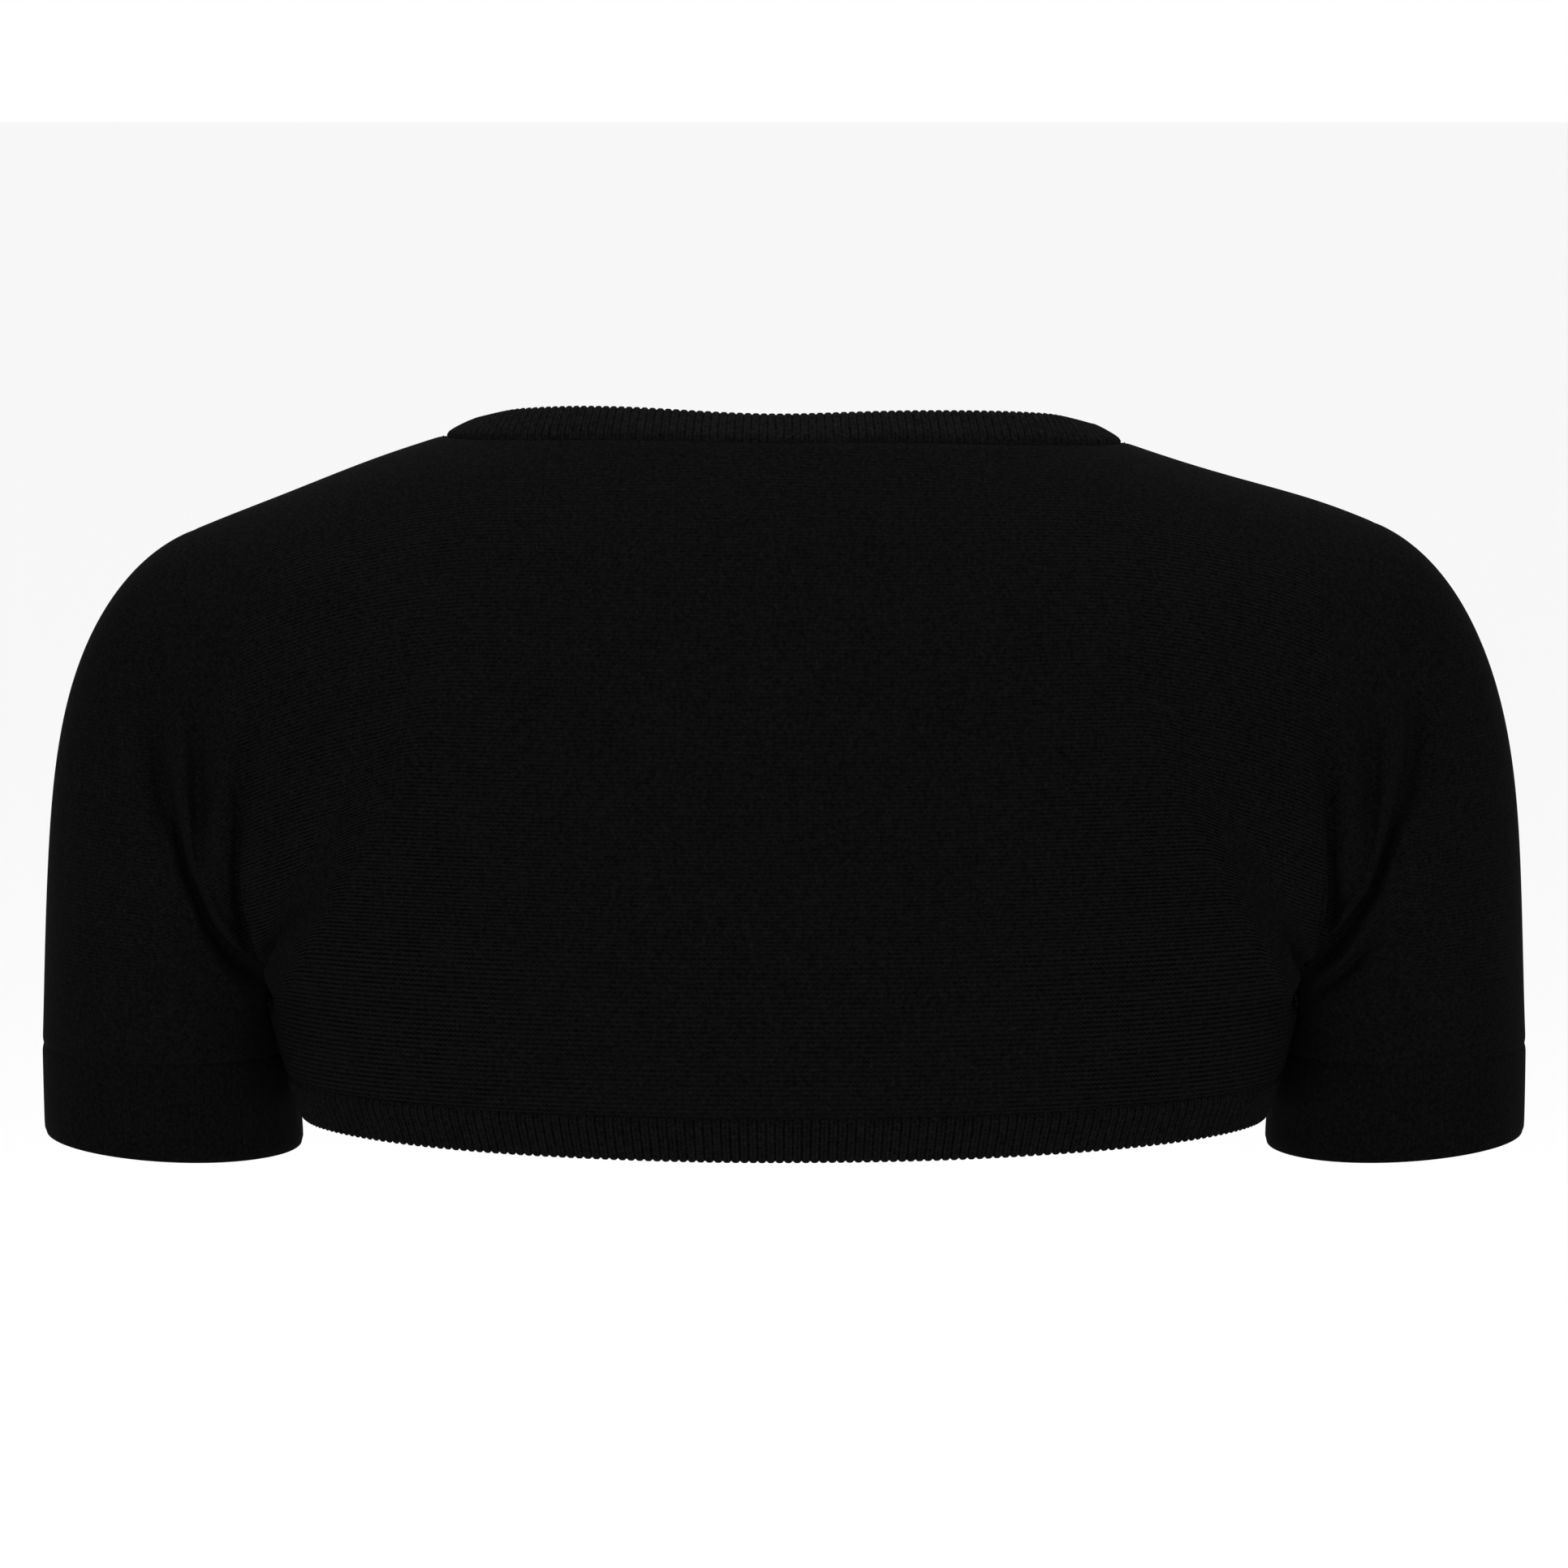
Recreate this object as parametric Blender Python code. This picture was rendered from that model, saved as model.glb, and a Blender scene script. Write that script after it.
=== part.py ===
"""Cropped short-sleeved cardigan in fine black knit, hollow, in the pose in which it is worn.

Metres, +Z up. The front faces -Y and the wearer's left is +X. The origin lies midway between the two points
where the shoulder seams meet the neck band, because the shoulders carry the garment there.

Every piece is a thin wall of cloth. Its outer skin is a grid of points on a general figure, which five
cross-sections of the body and two rings of each arm describe. Its inner skin is the same grid moved in by the
thickness of the cloth. Two numbers place a point on the body: its level, which is -1 at the hem, 0 at the hem
seam, 1 at the underarm, 2 half way up the armhole and 3 at the shoulder seam and neck, and its share of the
half-width, which is 1 at the left side and -1 at the right.
"""

import math
from collections import namedtuple

import bmesh
import bpy
import numpy as np
from mathutils.kdtree import KDTree

# Cloth
JERSEY = 0.0014
RIB_CLOTH = 0.0016
CUFF_CLOTH = 0.0015
RIB_RELIEF = 0.0006
CUFF_RELIEF = 0.0003
HEM_RIB_PITCH = 0.0029
CUFF_RIB_PITCH = 0.0027
RIB_SCALLOP = 0.0004
SEAM_GAP = 0.0003

# Figure: neck, shoulder, armhole and front edges
NECK_HALF = 0.1095
NECK_DEPTH = 0.049
NECK_POWER = 2.0
RIDGE_RISE = 0.020
SHOULDER_DROP = 0.030
SHOULDER_BEND = 0.0010
RIGHT_SHOULDER_LIFT = 0.003
NECK_TILT = 0.0009
SIDE_DEPTH = 0.003
V_LEVEL = 1.2
BAND_WIDTH = 0.0130
BAND_LIFT = math.radians(16)
BAND_LIFT_SHOULDER = math.radians(8)
FRONT_GAP = 0.012

# Cross-sections of the body. Depths are along Y, and an edge is the side seam, then the armhole.
Section = namedtuple(
    "Section",
    "centre_height edge_height half_back half_front depth_back depth_front edge_back edge_front power root",
)
SECTIONS = {
    -1: Section(-0.2237, -0.2203, 0.1560, 0.1560, 0.0850, -0.1080, SIDE_DEPTH, SIDE_DEPTH, 2.3, 0.48),
    0: Section(-0.2092, -0.2062, 0.1612, 0.1612, 0.0905, -0.1120, SIDE_DEPTH, SIDE_DEPTH, 2.3, 0.48),
    1: Section(-0.1740, -0.1770, 0.1690, 0.1690, 0.0985, -0.1120, SIDE_DEPTH, SIDE_DEPTH, 2.3, 0.48),
    2: Section(-0.0930, -0.1030, 0.1765, 0.1670, 0.1000, -0.0920, 0.0550, -0.0580, 2.6, 1.0),
    3: Section(RIDGE_RISE, -SHOULDER_DROP, 0.1910, 0.1910, 0.0, 0.0, 0.0, 0.0, 2.0, 1.0),
}

# Rings of the sleeve: centre, half-width, half-depth, how much higher the outer side is, how much lower the back.
Ring = namedtuple("Ring", "centre_x centre_y height half_width half_depth outer_rise back_drop")
CUFF_SEAM = Ring(0.2015, -0.0320, -0.2015, 0.0415, 0.0550, 0.0015, 0.0000)
CUFF_END = Ring(0.2008, -0.0380, -0.2345, 0.0424, 0.0530, 0.0046, 0.0015)

# How the cloth leaves the armhole, and how it reaches the cuff, at the underarm, back, shoulder and front.
Pull = namedtuple("Pull", "out back up")
LEAVING = [
    Pull(0.010, -0.012, -0.014),
    Pull(0.045, -0.022, -0.030),
    Pull(0.160, 0.000, -0.062),
    Pull(0.040, 0.010, -0.030),
]
REACHING = [
    Pull(-0.002, -0.006, -0.020),
    Pull(0.004, -0.014, -0.080),
    Pull(0.008, -0.014, -0.156),
    Pull(0.002, -0.004, -0.080),
]

# The largest creases, which spread from the underarm, as seen from behind or from in front: three points of the
# trough, its half-width and its depth. A depth below zero is a ridge.
Crease = namedtuple("Crease", "low_x low_z bend_x bend_z high_x high_z half_width depth")
BACK_CREASES = [
    Crease(0.1760, -0.1720, 0.1990, -0.1480, 0.2070, -0.0900, 0.0080, 0.0042),
    Crease(0.1735, -0.1740, 0.1830, -0.1380, 0.1790, -0.0860, 0.0070, 0.0026),
]
FRONT_CREASES = [
    Crease(0.1740, -0.1720, 0.1940, -0.1500, 0.2030, -0.1000, 0.0080, 0.0036),
]

# How finely each piece is divided
NECK_STEPS = 11
SHOULDER_STEPS = 9
SIDE_ROWS = 3
ARMHOLE_STEPS = 9
SLEEVE_ROWS = 12

Sheet = namedtuple("Sheet", "name points closed axis cloth pitch relief")


def ease(share):
    """A smooth step from 0 to 1."""
    share = np.clip(share, 0.0, 1.0)
    return share * share * (3 - 2 * share)


def unit(vectors):
    return vectors / np.maximum(np.linalg.norm(vectors, axis=-1, keepdims=True), 1e-12)


def blend(first, second, share):
    return first + (second - first) * share


# The figure


def shoulder_ridge(share):
    """Height of the ridge of the shoulders, which runs on under the neck opening."""
    neck = NECK_HALF / SECTIONS[3].half_back
    along = np.clip((share - neck) / (1 - neck), 0.0, 1.0)
    inside = RIDGE_RISE * np.clip(1 - (share / neck) ** 2, 0.0, 1.0)
    return inside - SHOULDER_DROP * along + SHOULDER_BEND * np.sin(np.pi * along)


def section_points(level, share, back):
    """Points of one cross-section at signed shares of its half-width."""
    s = SECTIONS[level]
    size = np.clip(np.abs(share), 0.0, 1.0)
    half, depth, edge = s.half_front, s.depth_front, s.edge_front
    if back:
        half, depth, edge = s.half_back, s.depth_back, s.edge_back
    if level == 3:
        y, z = np.zeros_like(size), shoulder_ridge(size)
    else:
        y = edge + (depth - edge) * (1 - size**s.power) ** s.root
        z = s.centre_height + (s.edge_height - s.centre_height) * size**2
    return np.stack([share * half, y, z], axis=-1)


def body(level, share, back):
    """Points of the body, for arrays of levels and of signed shares of the half-width.

    Each share follows a smooth curve through its points on the five cross-sections. At the armhole the curve
    sets off level from the underarm, climbs straight up at mid height and ends level at the shoulder.
    """
    level, share = np.broadcast_arrays(np.asarray(level, float), np.asarray(share, float))
    knots = [section_points(k, share, back) for k in sorted(SECTIONS)]
    chords = [high - low for low, high in zip(knots, knots[1:])]
    lengths = [np.linalg.norm(chord, axis=-1, keepdims=True) for chord in chords]
    ways = [unit(chord) for chord in chords]
    level_way = np.array([0.0, 1.0 if back else -1.0, 0.0])
    edge = (np.abs(share) ** 10)[..., None]
    leaves, arrives = [ways[0]], [None]
    for k in (1, 2, 3):
        smooth = unit(ways[k - 1] * lengths[k] + ways[k] * lengths[k - 1])
        climb = unit((knots[4] - knots[2]) * np.array([1.0, 0.0, 1.0]))
        arrives.append([None, smooth, unit(blend(smooth, ways[1], edge)), unit(blend(smooth, climb, edge))][k])
        leaves.append([None, smooth, unit(blend(smooth, level_way, edge)), unit(blend(smooth, climb, edge))][k])
    arrives.append(np.broadcast_to(-level_way, knots[4].shape))
    points = np.zeros(level.shape + (3,))
    for n in range(4):
        t = np.clip(level - (n - 1), 0.0, 1.0)[..., None]
        reach = lengths[n] * (1.15 if n > 1 else 1.0)
        curve = (
            knots[n] * (2 * t**3 - 3 * t**2 + 1)
            + leaves[n] * reach * (t**3 - 2 * t**2 + t)
            + knots[n + 1] * (3 * t**2 - 2 * t**3)
            + arrives[n + 1] * reach * (t**3 - t**2)
        )
        here = ((level >= n - 1) | (n == 0))[..., None]
        points = np.where(here, curve, points)
    return points


def half_width(level, back):
    """Half-width of the body at a level, measured at its edge."""
    return body(level, 1.0, back)[..., 0]


def neck_level(share):
    """Level at which the back ends: the shoulder seam, or the neck seam where its plan shape meets the figure."""
    share = np.asarray(share, float)
    inside = np.clip(np.abs(share) * SECTIONS[3].half_back / NECK_HALF, 0.0, 1.0)
    depth = NECK_DEPTH * (1 - inside**NECK_POWER) ** (1 / NECK_POWER)
    low, high = np.full(share.shape, 2.0), np.full(share.shape, 3.0)
    for _ in range(24):
        middle = (low + high) / 2
        behind = body(middle, share, True)[..., 1] > depth
        low, high = np.where(behind, middle, low), np.where(behind, high, middle)
    return np.where(inside < 1 - 1e-9, high, 3.0)


def front_edge(level):
    """Share of the half-width at which a front ends and its band begins."""
    straight = FRONT_GAP / 2 + BAND_WIDTH
    rise = np.clip((level - V_LEVEL) / (3 - V_LEVEL), 0.0, 1.0)
    return (straight + (NECK_HALF - straight) * ease(rise)) / half_width(level, False)


def posture(points):
    """The uneven stand of the garment: one shoulder a little fuller, and the neck a little tilted."""
    x, z = points[..., 0], points[..., 2]
    lift = RIGHT_SHOULDER_LIFT * np.exp(-(((x + 0.184) / 0.036) ** 2)) * ease((z + 0.12) / 0.08)
    tilt = NECK_TILT * np.sin(np.pi / 2 * np.clip(x / NECK_HALF, -2.0, 2.0)) * ease((z + 0.10) / 0.08)
    moved = points.copy()
    moved[..., 2] += lift + tilt
    return moved


def quarters(table, angle):
    """Value at an angle round the sleeve of a table with one row for each quarter."""
    rows = np.array(table, float)
    place = np.mod(angle, 2 * np.pi) / (np.pi / 2)
    first = np.floor(place).astype(int) % 4
    share = np.sin((place - np.floor(place)) * np.pi / 2) ** 2
    return blend(rows[first], rows[(first + 1) % 4], share[..., None])


def armhole(angle):
    """The left armhole seam. Angle 0 is the underarm, a quarter turn the back, half a turn the shoulder."""
    angle = np.mod(np.asarray(angle, float), 2 * np.pi)
    behind = body(1 + np.minimum(angle, np.pi) / (np.pi / 2), np.ones_like(angle), True)
    before = body(1 + np.minimum(2 * np.pi - angle, np.pi) / (np.pi / 2), np.ones_like(angle), False)
    return np.where((angle <= np.pi + 1e-9)[..., None], behind, before)


def ring(size, angle):
    """Points of one ring of the sleeve."""
    x = size.centre_x - size.half_width * np.cos(angle)
    y = size.centre_y + size.half_depth * np.sin(angle)
    z = size.height + size.outer_rise * (1 - np.cos(angle)) / 2 - size.back_drop * np.sin(angle)
    return np.stack([x, y, z], axis=-1)


def sleeve(angle, share):
    """The left sleeve between the armhole at share 0 and the cuff seam at share 1."""
    angle, share = np.broadcast_arrays(np.asarray(angle, float), np.asarray(share, float))
    t = share[..., None]
    start, end = armhole(angle), ring(CUFF_SEAM, angle)
    leaving, reaching = quarters(LEAVING, angle), quarters(REACHING, angle)
    return (
        start * (2 * t**3 - 3 * t**2 + 1)
        + leaving * (t**3 - 2 * t**2 + t)
        + end * (3 * t**2 - 2 * t**3)
        + reaching * (t**3 - t**2)
    )


def crease_depth(points):
    """How far the creases sink the cloth at each point."""
    x, y, z = np.abs(points[..., 0]), points[..., 1], points[..., 2]
    sunk = np.zeros(x.shape)
    for creases, side in ((BACK_CREASES, 1), (FRONT_CREASES, -1)):
        facing = ease((side * y + 0.012) / 0.028)
        for c in creases:
            t = np.linspace(0, 1, 21)[:, None]
            low, high = np.array([c.low_x, c.low_z]), np.array([c.high_x, c.high_z])
            bend = np.array([c.bend_x, c.bend_z])
            line = (1 - t) ** 2 * low + 2 * t * (1 - t) * bend + t**2 * high
            away = np.hypot(x[..., None] - line[:, 0], z[..., None] - line[:, 1])
            nearest = away.argmin(axis=-1) / (len(line) - 1)
            fade = np.sin(np.pi * np.clip(0.12 + 0.88 * nearest, 0, 1)) ** 0.8
            sunk += facing * c.depth * fade * np.exp(-((away.min(axis=-1) / c.half_width) ** 2))
    return sunk


# The pieces, each as one grid of points


def mirrored(points):
    return points * np.array([-1.0, 1.0, 1.0])


def levels():
    """Levels of the rows of a body panel, from the hem seam to the shoulder seam."""
    side = np.linspace(0, 1, SIDE_ROWS + 1)[:-1]
    return np.concatenate([side, np.linspace(1, 3, 2 * ARMHOLE_STEPS + 1)])


def neck_share(steps):
    return NECK_HALF / SECTIONS[3].half_back * np.sin(np.linspace(0, np.pi / 2, steps + 1))


def outer_columns(first):
    """Columns from a first share out to the side, closer together towards the side."""
    return first + (1 - first) * np.sin(np.linspace(0, np.pi / 2, SHOULDER_STEPS + 1))


def back_shares():
    inner = neck_share(NECK_STEPS)
    half = np.concatenate([inner[:-1], outer_columns(inner[-1])])
    return np.concatenate([-half[:0:-1], half])


def front_grid(level):
    """Points of the left front, or of the front of the hem band, at the given levels."""
    edge = front_edge(level)
    shares = np.stack([outer_columns(first) for first in edge])
    return body(level[:, None], shares, False)


def back_points():
    rows, shares = levels()[:, None], back_shares()[None, :]
    above = np.clip(rows - 2, 0.0, 1.0)
    return body(np.minimum(rows, 2) + above * (neck_level(shares) - 2), shares, True)


def sleeve_angles():
    return np.linspace(0, 2 * np.pi, 4 * ARMHOLE_STEPS + 1)[:-1]


def sleeve_points():
    return sleeve(sleeve_angles()[None, :], np.linspace(0, 1, SLEEVE_ROWS + 1)[:, None])


def cuff_points():
    return np.stack([ring(CUFF_SEAM, sleeve_angles()), ring(CUFF_END, sleeve_angles())])


def hem_points():
    """The hem band, from the right front band round the back to the left one."""
    level = np.array([0.0, -1.0])
    left = front_grid(level)
    behind = body(level[:, None], back_shares()[None, :], True)
    return np.concatenate([mirrored(left), behind[:, 1:-1], left[:, ::-1]], axis=1)


def band_points():
    """The neck band, up the right front edge, round the neck and down the left front edge."""
    rows = np.concatenate([[-1.0], levels()])
    edge = front_edge(rows)
    inner = neck_share(NECK_STEPS)
    shares = np.concatenate([-inner[:0:-1], inner])
    left = body(rows, edge, False)
    behind = body(neck_level(shares), shares, True)[1:-1]
    seam = np.concatenate([mirrored(left), behind, left[::-1]])
    panel_left = body(rows, edge + 0.03, False)
    panel_behind = body(neck_level(shares) - 0.08, shares, True)[1:-1]
    panel = np.concatenate([mirrored(panel_left), panel_behind, panel_left[::-1]])
    along = unit(np.gradient(seam, axis=0))
    across = seam - panel
    away = unit(across - along * (across * along).sum(axis=-1, keepdims=True))
    up = unit(np.cross(away, along))
    up *= np.sign(up[:, 2:] + up[:, 1:2] * np.sign(seam[:, 1:2]) * ease(-seam[:, 2:] / 0.05))
    across_neck = np.clip(np.abs(seam[:, 0]) / NECK_HALF, 0.0, 1.0)
    near_shoulder = ease((across_neck - 0.8) / 0.2)
    behind_neck = blend(BAND_LIFT * ease(across_neck / 0.75), BAND_LIFT_SHOULDER, near_shoulder)
    before_neck = BAND_LIFT_SHOULDER * ease((seam[:, 2] + 0.09) / 0.08)
    lift = np.where(seam[:, 1] > 0, behind_neck, before_neck)
    lift = lift[:, None]
    return np.stack([seam, seam + BAND_WIDTH * (away * np.cos(lift) + up * np.sin(lift))])


def all_sheets():
    jersey = (JERSEY, 0.0, 0.0)
    cuff = (CUFF_CLOTH, CUFF_RIB_PITCH, CUFF_RELIEF)
    rib = (RIB_CLOTH, HEM_RIB_PITCH, RIB_RELIEF)
    torso = (0.0, 0.0)
    left_front, left_sleeve, left_cuff = front_grid(levels()), sleeve_points(), cuff_points()
    sheets = [Sheet("back_panel", back_points(), False, torso, *jersey)]
    for side, turn, way in (("left", lambda points: points, 1), ("right", mirrored, -1)):
        arm = (way * CUFF_SEAM.centre_x, CUFF_SEAM.centre_y)
        sheets.append(Sheet("front_" + side, turn(left_front), False, torso, *jersey))
        sheets.append(Sheet("sleeve_" + side, turn(left_sleeve), True, arm, *jersey))
        sheets.append(Sheet("cuff_" + side, turn(left_cuff), True, arm, *cuff))
    sheets.append(Sheet("hem_band", hem_points(), False, torso, *rib))
    sheets.append(Sheet("neck_band", band_points(), False, torso, *rib))
    return [sheet._replace(points=posture(sheet.points)) for sheet in sheets]


# Seams: pieces that share points share their directions there, and each draws back by half the gap


def own_directions(sheet):
    """Outward directions of one sheet by itself."""
    points = sheet.points
    if sheet.closed:
        around = np.roll(points, -1, axis=1) - np.roll(points, 1, axis=1)
    else:
        around = np.gradient(points, axis=1)
    out = unit(np.cross(np.gradient(points, axis=0), around))
    spokes = points[..., :2] - np.array(sheet.axis)
    return out * np.sign((out[..., :2] * spokes).sum())


def shared_directions(sheets):
    """Outward directions for all sheets, how much thicker a folded seam is, and which points are shared."""
    own = [own_directions(sheet) for sheet in sheets]
    flat = np.concatenate([sheet.points.reshape(-1, 3) for sheet in sheets])
    owner = np.concatenate([np.full(sheet.points.shape[:2], n).ravel() for n, sheet in enumerate(sheets)])
    normals = np.concatenate([out.reshape(-1, 3) for out in own])
    tree = KDTree(len(flat))
    for n, point in enumerate(flat):
        tree.insert(point, n)
    tree.balance()
    total = np.zeros_like(flat)
    stretch = np.ones(len(flat))
    shared = np.zeros(len(flat), bool)
    for n, point in enumerate(flat):
        near = [index for _, index, _ in tree.find_range(point, 1e-5)]
        total[n] = normals[near].sum(axis=0)
        shared[n] = len(set(owner[near])) > 1
        stretch[n] = 1 / max(0.6, np.linalg.norm(total[n]) / len(near))
    total = unit(total)
    results, start = [], 0
    for sheet in sheets:
        shape = sheet.points.shape[:2]
        end = start + shape[0] * shape[1]
        out = total[start:end].reshape(*shape, 3)
        results.append((out, stretch[start:end].reshape(shape), shared[start:end].reshape(shape)))
        start = end
    return results


def drawn_back(sheet, out, shared):
    """The points of a sheet with its seams drawn back by half of the gap."""
    points = sheet.points
    moved = points.copy()
    sides = [((0, slice(None)), (1, slice(None))), ((-1, slice(None)), (-2, slice(None)))]
    if not sheet.closed:
        sides += [((slice(None), 0), (slice(None), 1)), ((slice(None), -1), (slice(None), -2))]
    for rim, inside in sides:
        if shared[rim].mean() <= 0.5:
            continue
        chain = points[rim]
        if sheet.closed:
            along = np.roll(chain, -1, axis=0) - np.roll(chain, 1, axis=0)
        else:
            along = np.gradient(chain, axis=0)
        inwards = unit(np.cross(out[rim], along))
        inwards *= np.sign((inwards * (points[inside] - chain)).sum(axis=-1, keepdims=True))
        moved[rim] += inwards * SEAM_GAP / 2
    return moved


# Walls


def zip_rims(bm, first, first_at, second, second_at):
    """Fills the strip between two chains of vertices, given how far along the seam each vertex is."""
    i = j = 0
    while i < len(first) - 1 or j < len(second) - 1:
        if j == len(second) - 1 or (i < len(first) - 1 and first_at[i + 1] <= second_at[j + 1] + 1e-9):
            corners = (first[i], first[i + 1], second[j])
            i += 1
        else:
            corners = (first[i], second[j + 1], second[j])
            j += 1
        bm.faces.new(corners)


def wall(name, skins, closed, material):
    """A closed wall between two skins, each a grid of points with the place of each column along the seam."""
    bm = bmesh.new()
    grids = []
    for points, _ in skins:
        rows = [[bm.verts.new(p) for p in row] for row in points]
        for low, high in zip(rows, rows[1:]):
            pairs = list(zip(low, low[1:], high[1:], high))
            if closed:
                pairs.append((low[-1], low[0], high[0], high[-1]))
            for corners in pairs:
                bm.faces.new(corners)
        grids.append(rows)
    places = [list(at) + ([at[0] + 1.0] if closed else []) for _, at in skins]
    for row in (0, -1):
        chains = [grid[row] + (grid[row][:1] if closed else []) for grid in grids]
        zip_rims(bm, chains[0], places[0], chains[1], places[1])
    if not closed:
        for column in (0, -1):
            chains = [[row[column] for row in grid] for grid in grids]
            zip_rims(bm, chains[0], range(len(chains[0])), chains[1], range(len(chains[1])))
    bmesh.ops.recalc_face_normals(bm, faces=bm.faces)
    mesh = bpy.data.meshes.new(name)
    bm.to_mesh(mesh)
    bm.free()
    mesh.materials.append(material)
    mesh.shade_smooth()
    mesh.set_sharp_from_angle(angle=math.radians(40))
    obj = bpy.data.objects.new(name, mesh)
    bpy.context.scene.collection.objects.link(obj)
    return obj


def ribbed(points, out, sheet, free_row):
    """The skin divided into ribs that stand up from it, and the place of each column."""
    after, out_after = (np.roll(a, -1, axis=1) if sheet.closed else a[:, 1:] for a in (points, out))
    count = after.shape[1]
    lengths = np.linalg.norm(after - points[:, :count], axis=-1).mean(axis=0)
    columns, places = [], []
    for n in range(count):
        ribs = max(1, round(lengths[n] / sheet.pitch))
        for step in range(2 * ribs):
            share = step / (2 * ribs)
            raised = step % 2
            column = blend(points[:, n], after[:, n], share)
            direction = unit(blend(out[:, n], out_after[:, n], share))
            column = column + direction * sheet.relief * raised
            if free_row is not None:
                inward = unit(column[1 - free_row] - column[free_row])
                column[free_row] += inward * RIB_SCALLOP * (1 - raised)
            columns.append(column)
            places.append((n + share) / count)
    if not sheet.closed:
        columns.append(points[:, -1])
        places.append(1.0)
    return np.stack(columns, axis=1), places


def knit(name, colour, roughness):
    """A dull knitted finish in one colour."""
    material = bpy.data.materials.new(name)
    material.use_nodes = True
    shader = material.node_tree.nodes["Principled BSDF"]
    shader.inputs["Base Color"].default_value = (*colour, 1.0)
    shader.inputs["Roughness"].default_value = roughness
    shader.inputs["Metallic"].default_value = 0.0
    return material


def main():
    for old in list(bpy.data.objects):
        bpy.data.objects.remove(old)
    jersey = knit("black_jersey", (0.0040, 0.0040, 0.0042), 0.92)
    rib = knit("black_rib", (0.0034, 0.0034, 0.0036), 0.95)

    sheets = all_sheets()
    creased = []
    for sheet, (out, _, _) in zip(sheets, shared_directions(sheets)):
        points = sheet.points - out * crease_depth(sheet.points)[..., None]
        creased.append(sheet._replace(points=points))

    for sheet, (out, stretch, shared) in zip(creased, shared_directions(creased)):
        outer = drawn_back(sheet, out, shared)
        inner = outer - out * (sheet.cloth * stretch)[..., None]
        count = outer.shape[1]
        coarse = np.arange(count) / (count if sheet.closed else count - 1)
        if sheet.pitch:
            skin, places = ribbed(outer, out, sheet, None if sheet.name.startswith("cuff") else 1)
        else:
            skin, places = outer, coarse
        wall(sheet.name, [(skin, places), (inner, coarse)], sheet.closed, rib if sheet.pitch else jersey)


main()
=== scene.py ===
# %% [markdown]
# # A cropped cardigan in fine black knit
#
# The real object is a short cardigan, filled out as if worn and seen from behind. It is knitted in pieces: a back,
# two fronts and two sleeves in plain stitch, two deep cuffs, and ribbed bands at the hem and round the neck. The
# pieces are linked loop by loop, so their seams are fine dark lines.
#
# The plain model gives each piece as a smooth wall. This notebook replaces each wall with a finer shell of cloth on
# the same form. The form comes from a few cross-sections, so the shells and the walls can't drift apart.

# %% Load the plain model and keep its box
import math
from collections import namedtuple

import bpy
import numpy as np
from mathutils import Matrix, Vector


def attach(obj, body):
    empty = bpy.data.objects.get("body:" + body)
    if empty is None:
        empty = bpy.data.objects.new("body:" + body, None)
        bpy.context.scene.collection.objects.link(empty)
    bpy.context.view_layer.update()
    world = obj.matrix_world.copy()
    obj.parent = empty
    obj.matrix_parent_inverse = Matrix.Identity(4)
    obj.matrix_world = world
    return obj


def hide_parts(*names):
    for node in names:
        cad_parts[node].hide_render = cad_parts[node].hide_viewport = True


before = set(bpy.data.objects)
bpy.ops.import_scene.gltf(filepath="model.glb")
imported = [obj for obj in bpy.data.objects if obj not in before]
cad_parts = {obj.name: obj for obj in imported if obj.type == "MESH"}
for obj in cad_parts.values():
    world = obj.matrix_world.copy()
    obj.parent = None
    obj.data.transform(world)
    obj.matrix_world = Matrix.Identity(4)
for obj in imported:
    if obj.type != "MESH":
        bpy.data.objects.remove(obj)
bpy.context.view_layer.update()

scene = bpy.context.scene

# %% [markdown]
# ## The camera
#
# The photograph looks at the back from a little above. A long lens from 3 m gives the flat perspective of a studio
# picture. A zoom would do the same by trial, but here the lens follows from the width that the picture covers.

# %% Place the camera
AIM = Vector((0.0, 0.0, -0.112))
AWAY = 3.0
ELEVATION = math.radians(6)
PICTURE_WIDTH = 0.5079

camera_data = bpy.data.cameras.new("camera")
camera_data.lens = camera_data.sensor_width * AWAY / PICTURE_WIDTH
camera = bpy.data.objects.new("camera", camera_data)
scene.collection.objects.link(camera)
towards_camera = Vector((0.0, math.cos(ELEVATION), math.sin(ELEVATION)))
camera.location = AIM + AWAY * towards_camera
camera.rotation_mode = "QUATERNION"
camera.rotation_quaternion = (-towards_camera).to_track_quat("-Z", "Y")
scene.camera = camera
print("Lens, mm:", round(camera_data.lens))

# %% [markdown]
# ## The form of the body
#
# A filled-out garment is a hollow that five cross-sections describe: hem, hem seam, underarm, mid armhole and
# shoulder. It could be sculpted, but then the shells would meet only roughly. Here every point has a level, from -1
# at the hem to 3 at the shoulder, and a share of the half-width, and a smooth curve joins the sections.

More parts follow.
